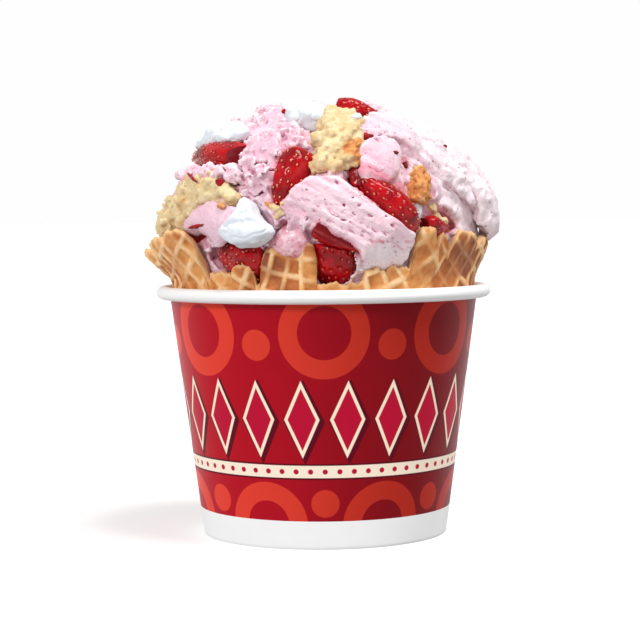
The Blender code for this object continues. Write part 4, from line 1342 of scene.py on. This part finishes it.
creams = {
    "cream_centre": {
        "seat": (-26.6, 14.2, -0.6, 0, 0),
        "tents": (((0.2, 0.6, 0.6), 6.9, 2.5, 5.9, 4.8, 0),),
        "lobes": (
            ((5.6, -1.2, 0.0), (3.4, 1.9, 2.0), 2.2, (0, 12, -20)),
            ((1.6, -3.9, 1.2), (4.4, 2.0, 2.4), 2.4, (14, 0, -4)),
        ),
    },
    "cream_left": {
        "seat": (-54, 47.5, 0.4, 4, 0),
        "lobes": (
            ((0, -0.5, 0.4), (10.0, 3.6, 3.2), 2.2, (0, 0, 4)),
            ((-4.0, 0.8, 1.4), (5.0, 3.2, 2.8), 2.2, (0, -12, -10)),
            ((3.6, 0.8, 1.2), (4.8, 3.0, 2.8), 2.3, (0, 10, 12)),
            ((-9.4, -1.4, 0.0), (3.4, 1.6, 2.0), 2.0, (0, 0, 24)),
            ((1.0, -2.4, 1.6), (5.2, 1.9, 2.0), 2.0, (0, 0, -8)),
        ),
    },
    "cream_top": {
        "seat": (-11, 59, 1.0, -4, 0),
        "lobes": (
            ((0.4, 0.2, 0.0), (5.6, 4.4, 3.6), 4.5, (-6, 8, -5)),
            ((-4.6, 1.4, 1.2), (2.0, 3.2, 2.6), 3.4, (0, -14, 8)),
            ((3.0, -2.0, 0.8), (3.6, 2.6, 2.6), 2.6, (0, 10, -16)),
            ((-1.2, -2.8, 0.6), (3.0, 2.2, 2.4), 2.2, (0, 0, 10)),
        ),
    },
    "cream_back": {
        "seat": (-168, 60, 0.2, 20, 0),
        "tents": (((0.4, 0.6, 0.2), 5.2, 1.9, 5.0, 3.8, 10),),
        "lobes": (
            ((0, -0.6, 0), (7.2, 3.4, 3.2), 2.3, (0, 0, 0)),
            ((-4.6, 0.2, 1.0), (3.8, 2.4, 2.4), 2.0, (0, -12, 22)),
            ((4.4, -1.0, 1.0), (3.8, 2.4, 2.4), 2.0, (0, 12, -16)),
        ),
    },
    "cream_back_left": {
        "seat": (-144, 44, -0.6, -30, 0),
        "tents": (((-0.2, 0.8, 0.2), 5.6, 1.9, 5.2, 4.0, -8),),
        "lobes": (
            ((0, -1.4, 0), (6.0, 3.8, 3.4), 2.3, (0, 0, 0)),
            ((4.6, -1.4, 0.8), (3.6, 2.3, 2.4), 2.0, (0, 12, -20)),
            ((-4.2, -1.0, 1.0), (3.4, 2.6, 2.6), 2.0, (0, -8, 24)),
        ),
    },
}


def addTent(place, shape, seed):  # a peak pulled up between flaring skirts, with a crease down its front
    middle, rise, topHalf, flare, depth, tilt = shape
    deselectAll()
    bpy.ops.mesh.primitive_ico_sphere_add(subdivisions=6, radius=1)
    peak = bpy.context.object
    ways = readPoints(peak) * mm
    ways /= (np.abs(ways) ** 3.2).sum(1, keepdims=True) ** (1 / 3.2)
    across, up, out = ways.T
    half = topHalf + flare * np.exp(-((up + 0.4) / 0.6) ** 2)
    x, y = across * half, up * rise
    z = out * depth * (1 - 0.24 * (up + 1) / 2)
    front = ramp(out, 0.0, 0.6)
    z -= front * 0.9 * np.exp(-((x - 0.5) / 0.8) ** 2) * ramp(up, -0.1, 0.3)
    z -= front * 0.8 * np.exp(-((y + 0.9 - 0.12 * x) / 0.8) ** 2) * (1 - ramp(np.abs(x), 4, 7))
    z -= front * 1.2 * np.abs(across) ** 2
    y += 0.7 * np.sin(x * 0.9 + seed) * ramp(up, 0.3, 1.0)
    shape = np.stack([x, y, z], -1) * (1 + 0.06 * clouds(ways, 0.6, seed))[:, None]
    turn = np.array(Matrix.Rotation(math.radians(tilt), 3, "Z"))
    writePoints(peak, np.array([place @ Vector(p) for p in shape @ turn.T + middle]))
    return peak


def makeCream(node, settings):
    place = seat(*settings["seat"])
    lobes = [addLobe(place, lobe, 50 + k, 0.12) for k, lobe in enumerate(settings["lobes"])]
    lobes += [addTent(place, shape, 60 + k) for k, shape in enumerate(settings.get("tents", ()))]
    dollop = joined(lobes, node)
    modify(dollop, "REMESH", mode="VOXEL", voxel_size=0.00034)
    modify(dollop, "SMOOTH", factor=0.5, iterations=5)
    points, normals = readPoints(dollop), readNormals(dollop)
    local = points @ np.array(place.to_3x3())
    folds = clouds(local * (1.0, 0.45, 1.0), 2.6, 31) * 0.32
    folds -= 0.3 * ramp(np.abs(clouds(local, 5.0, 32)), 0.1, 0.0)
    writePoints(dollop, points + normals * (folds + clouds(points, 1.1, 33) * 0.06)[:, None])
    paint(dollop, "hollow", hollows(dollop, 20))
    finishPiece(dollop, titled(node, "cream"), whippedCream, "whipped_cream", [node])


def creamMaterial():
    whip = Finish("whippedCream", Roughness=0.42, Specular_IOR_Level=0.3)
    place = whip.place()
    colour = whip.mix(whip.noise(place, 4.0, 2.0), ink(228, 232, 238), ink(218, 224, 232))
    shaded = whip.painted("hollow").between(0.05, 0.7)
    whip.set("Base Color", whip.mix(shaded * 0.9, colour, ink(172, 184, 200)))
    whip.bump(whip.noise(place, 1.4, 2.0), 0.1, 0.3)
    return whip.material


whippedCream = creamMaterial()
for node, settings in creams.items():
    makeCream(node, settings)
print("cream made")


# small bits that lie among the rest

bits = {
    "fruitBits": {
        "slot": "strawberry",
        "lumps": (
            (20.4, 43.7, (1.7, 0.9, 1.2)), (-60, 12.3, (4.8, 0.6, 0.9)), (-45.2, 13.2, (3.3, 0.5, 0.8)),
            (-52, 28.6, (3.8, 0.5, 0.9)),
            (-37.8, 27.3, (1.3, 1.3, 1.0)), (12.4, 30.5, (1.7, 3.2, 1.2)), (29.5, 37.5, (1.0, 0.5, 0.7)),
            (35.5, 35.5, (0.7, 1.2, 0.7)), (-22, 57, (0.9, 0.6, 0.8)), (60, 40, (1.0, 0.7, 0.8)),
            (110, 52, (1.8, 1.2, 1.2)), (-98, 38, (2.0, 1.2, 1.2)), (170, 12, (1.8, 1.1, 1.0)),
            (70, 60, (1.4, 0.9, 0.9)), (-130, 66, (1.6, 1.0, 1.0)), (160, 47, (1.6, 0.9, 1.0)),
        ),
    },
    "crumbBits": {
        "slot": "sponge_cake",
        "lumps": (
            (-20.2, 22.0, (1.1, 0.7, 0.8)), (-18.3, 21.2, (1.2, 0.8, 0.9)), (-16.4, 20.2, (1.3, 0.9, 0.9)),
            (-14.6, 19.0, (1.1, 0.9, 0.9)), (-13.8, 21.0, (0.9, 0.7, 0.8)), (-16.4, 17.6, (1.2, 0.8, 0.8)),
            (46.4, 17.9, (1.9, 1.4, 1.2)), (43.6, 20.4, (1.5, 1.8, 1.1)), (49.5, 15.6, (1.5, 1.1, 1.0)),
            (-35.4, 19.6, (1.4, 1.0, 1.0)), (100, 28, (2.4, 1.6, 1.4)),
            (-170, 8, (2.4, 1.6, 1.4)), (-95, 15, (2.2, 1.6, 1.4)), (168, 56, (2.2, 1.6, 1.4)),
            (128, 25, (1.6, 1.2, 1.2)), (-112, 48, (1.8, 1.4, 1.2)),
        ),
    },
    "creamBits": {
        "slot": "whipped_cream",
        "lumps": (
            (36.2, 19.0, (1.5, 3.0, 1.8)), (17.5, 52.5, (1.6, 1.2, 1.0)), (-100, 10, (1.8, 1.2, 1.2)),
            (13.8, -0.6, (0.9, 0.6, 0.6)), (17.7, -2.2, (0.8, 0.5, 0.6)),
        ),
    },
}


def makeBits(name, settings, material, ground):  # each bit is set into the surface under it
    lumps = []
    rough = 0.15 if name == "creamBits" else 0.35
    for k, (bearing, elevation, radii) in enumerate(settings["lumps"]):
        place = seat(bearing, elevation, 0, 0, 0)
        start = onHeap(bearing, elevation, 15)
        place.translation = ground.ray_cast(start, -outward(bearing, elevation))[0]
        place @= Matrix.Translation((0, 0, radii[2] * 0.25))
        lumps.append(addLobe(place, ((0, 0, 0), radii, 2.2, (0, 0, 17 * k % 50 - 25)), 70 + k, rough))
    piece = joined(lumps, name)
    modify(piece, "REMESH", mode="VOXEL", voxel_size=0.0003)
    modify(piece, "SMOOTH", factor=0.5, iterations=3)
    points, normals = readPoints(piece), readNormals(piece)
    writePoints(piece, points + normals * (clouds(points, 1.0, 40) * 0.22)[:, None])
    paint(piece, "hollow", hollows(piece, 5))
    dark = 1 - ramp(points[:, 0], -15.5, -14) * (points[:, 1] < 0)  # the crumbs at the front are paler
    paint(piece, "brown", 0.25 + 0.6 * dark)
    paint(piece, "skin", ramp(clouds(points, 3.0, 41), -0.2, 0.2))
    for mask, level in (("core", 0.2), ("shade", 0.0), ("film", 0.0)):  # the berries' material reads these
        paint(piece, mask, np.full(len(points), level))
    finishPiece(piece, name, material, settings["slot"])


kinds = ("iceCream", "cake", "berry", "cream")
covering = [o for o in bpy.data.objects if o.name.startswith(kinds) and o.type == "MESH"]
ground = treeOf([o for o in covering if not o.name.endswith("Seeds") and o not in frame["nodes"].values()])
for (name, settings), material in zip(bits.items(), (berrySkin, spongeCake, whippedCream)):
    makeBits(name, settings, material, ground)
print("small bits made")


# floor, light and camera

studio = {
    "floor": ink(215, 215, 215),
    "floorGlow": 0.35,
    "suns": (
        ("keyLight", (-0.6, -0.72, 0.5), 1.5, 14),
        ("topLight", (0.36, -0.24, 1.0), 2.2, 24),
        ("rightFill", (0.75, -0.6, 0.2), 0.38, 40),
    ),
    "leftSky": 0.62,
    "rightSky": 0.46,
    "backdrop": 0.99,
    "camera": (-1.1, -570.0, 94.4),
    "pitch": -3.13,
    "roll": -0.5,
    "lens": 106.9,
}


def makeStudio():
    deselectAll()
    bpy.ops.mesh.primitive_plane_add(size=60.0, location=(0, 0, 0))
    floor = bpy.context.object
    floor.name = "studioFloor"
    matte = Finish("studioFloor", Roughness=0.8)
    matte.shader.inputs["Base Color"].default_value = studio["floor"]
    matte.shader.inputs["Emission Color"].default_value = (1, 1, 1, 1)
    matte.shader.inputs["Emission Strength"].default_value = studio["floorGlow"]
    floor.data.materials.append(matte.material)
    floor.visible_diffuse = False  # the object is lit by the room and not by the floor's glow
    for name, direction, strength, angle in studio["suns"]:
        bpy.ops.object.light_add(type="SUN", location=direction)
        sun = bpy.context.object
        sun.name = name
        sun.data.energy = strength
        sun.data.angle = math.radians(angle)
        sun.rotation_euler = (-Vector(direction)).to_track_quat("-Z", "Y").to_euler()
    world = bpy.data.worlds.new("studio")
    bpy.context.scene.world = world
    world.use_nodes = True
    tree = world.node_tree
    sky = tree.nodes["Background"]
    sky.inputs["Color"].default_value = (1, 1, 1, 1)
    where = tree.nodes.new("ShaderNodeTexCoord")
    split = tree.nodes.new("ShaderNodeSeparateXYZ")
    tree.links.new(where.outputs["Generated"], split.inputs[0])
    room = tree.nodes.new("ShaderNodeMapRange")  # a pale wall on the left and a dark one on the right
    room.interpolation_type = "SMOOTHSTEP"
    for setting, value in (("From Min", -0.7), ("From Max", 0.8)):
        room.inputs[setting].default_value = value
    room.inputs["To Min"].default_value = studio["leftSky"]
    room.inputs["To Max"].default_value = studio["rightSky"]
    tree.links.new(split.outputs["X"], room.inputs["Value"])
    ray = tree.nodes.new("ShaderNodeLightPath")  # the backdrop is seen brighter than it lights
    strength = tree.nodes.new("ShaderNodeMapRange")
    strength.inputs["To Max"].default_value = studio["backdrop"]
    tree.links.new(ray.outputs["Is Camera Ray"], strength.inputs["Value"])
    tree.links.new(room.outputs[0], strength.inputs["To Min"])
    tree.links.new(strength.outputs[0], sky.inputs["Strength"])
    lens = bpy.data.cameras.new("camera")
    lens.lens = studio["lens"]
    lens.sensor_width = 36
    camera = bpy.data.objects.new("camera", lens)
    bpy.context.scene.collection.objects.link(camera)
    tilt = Matrix.Rotation(math.pi / 2 + math.radians(studio["pitch"]), 4, "X")
    roll = Matrix.Rotation(math.radians(studio["roll"]), 4, "Z")
    camera.matrix_world = Matrix.Translation(Vector(studio["camera"]) * mm) @ tilt @ roll
    bpy.context.scene.camera = camera


makeStudio()
print("studio made")
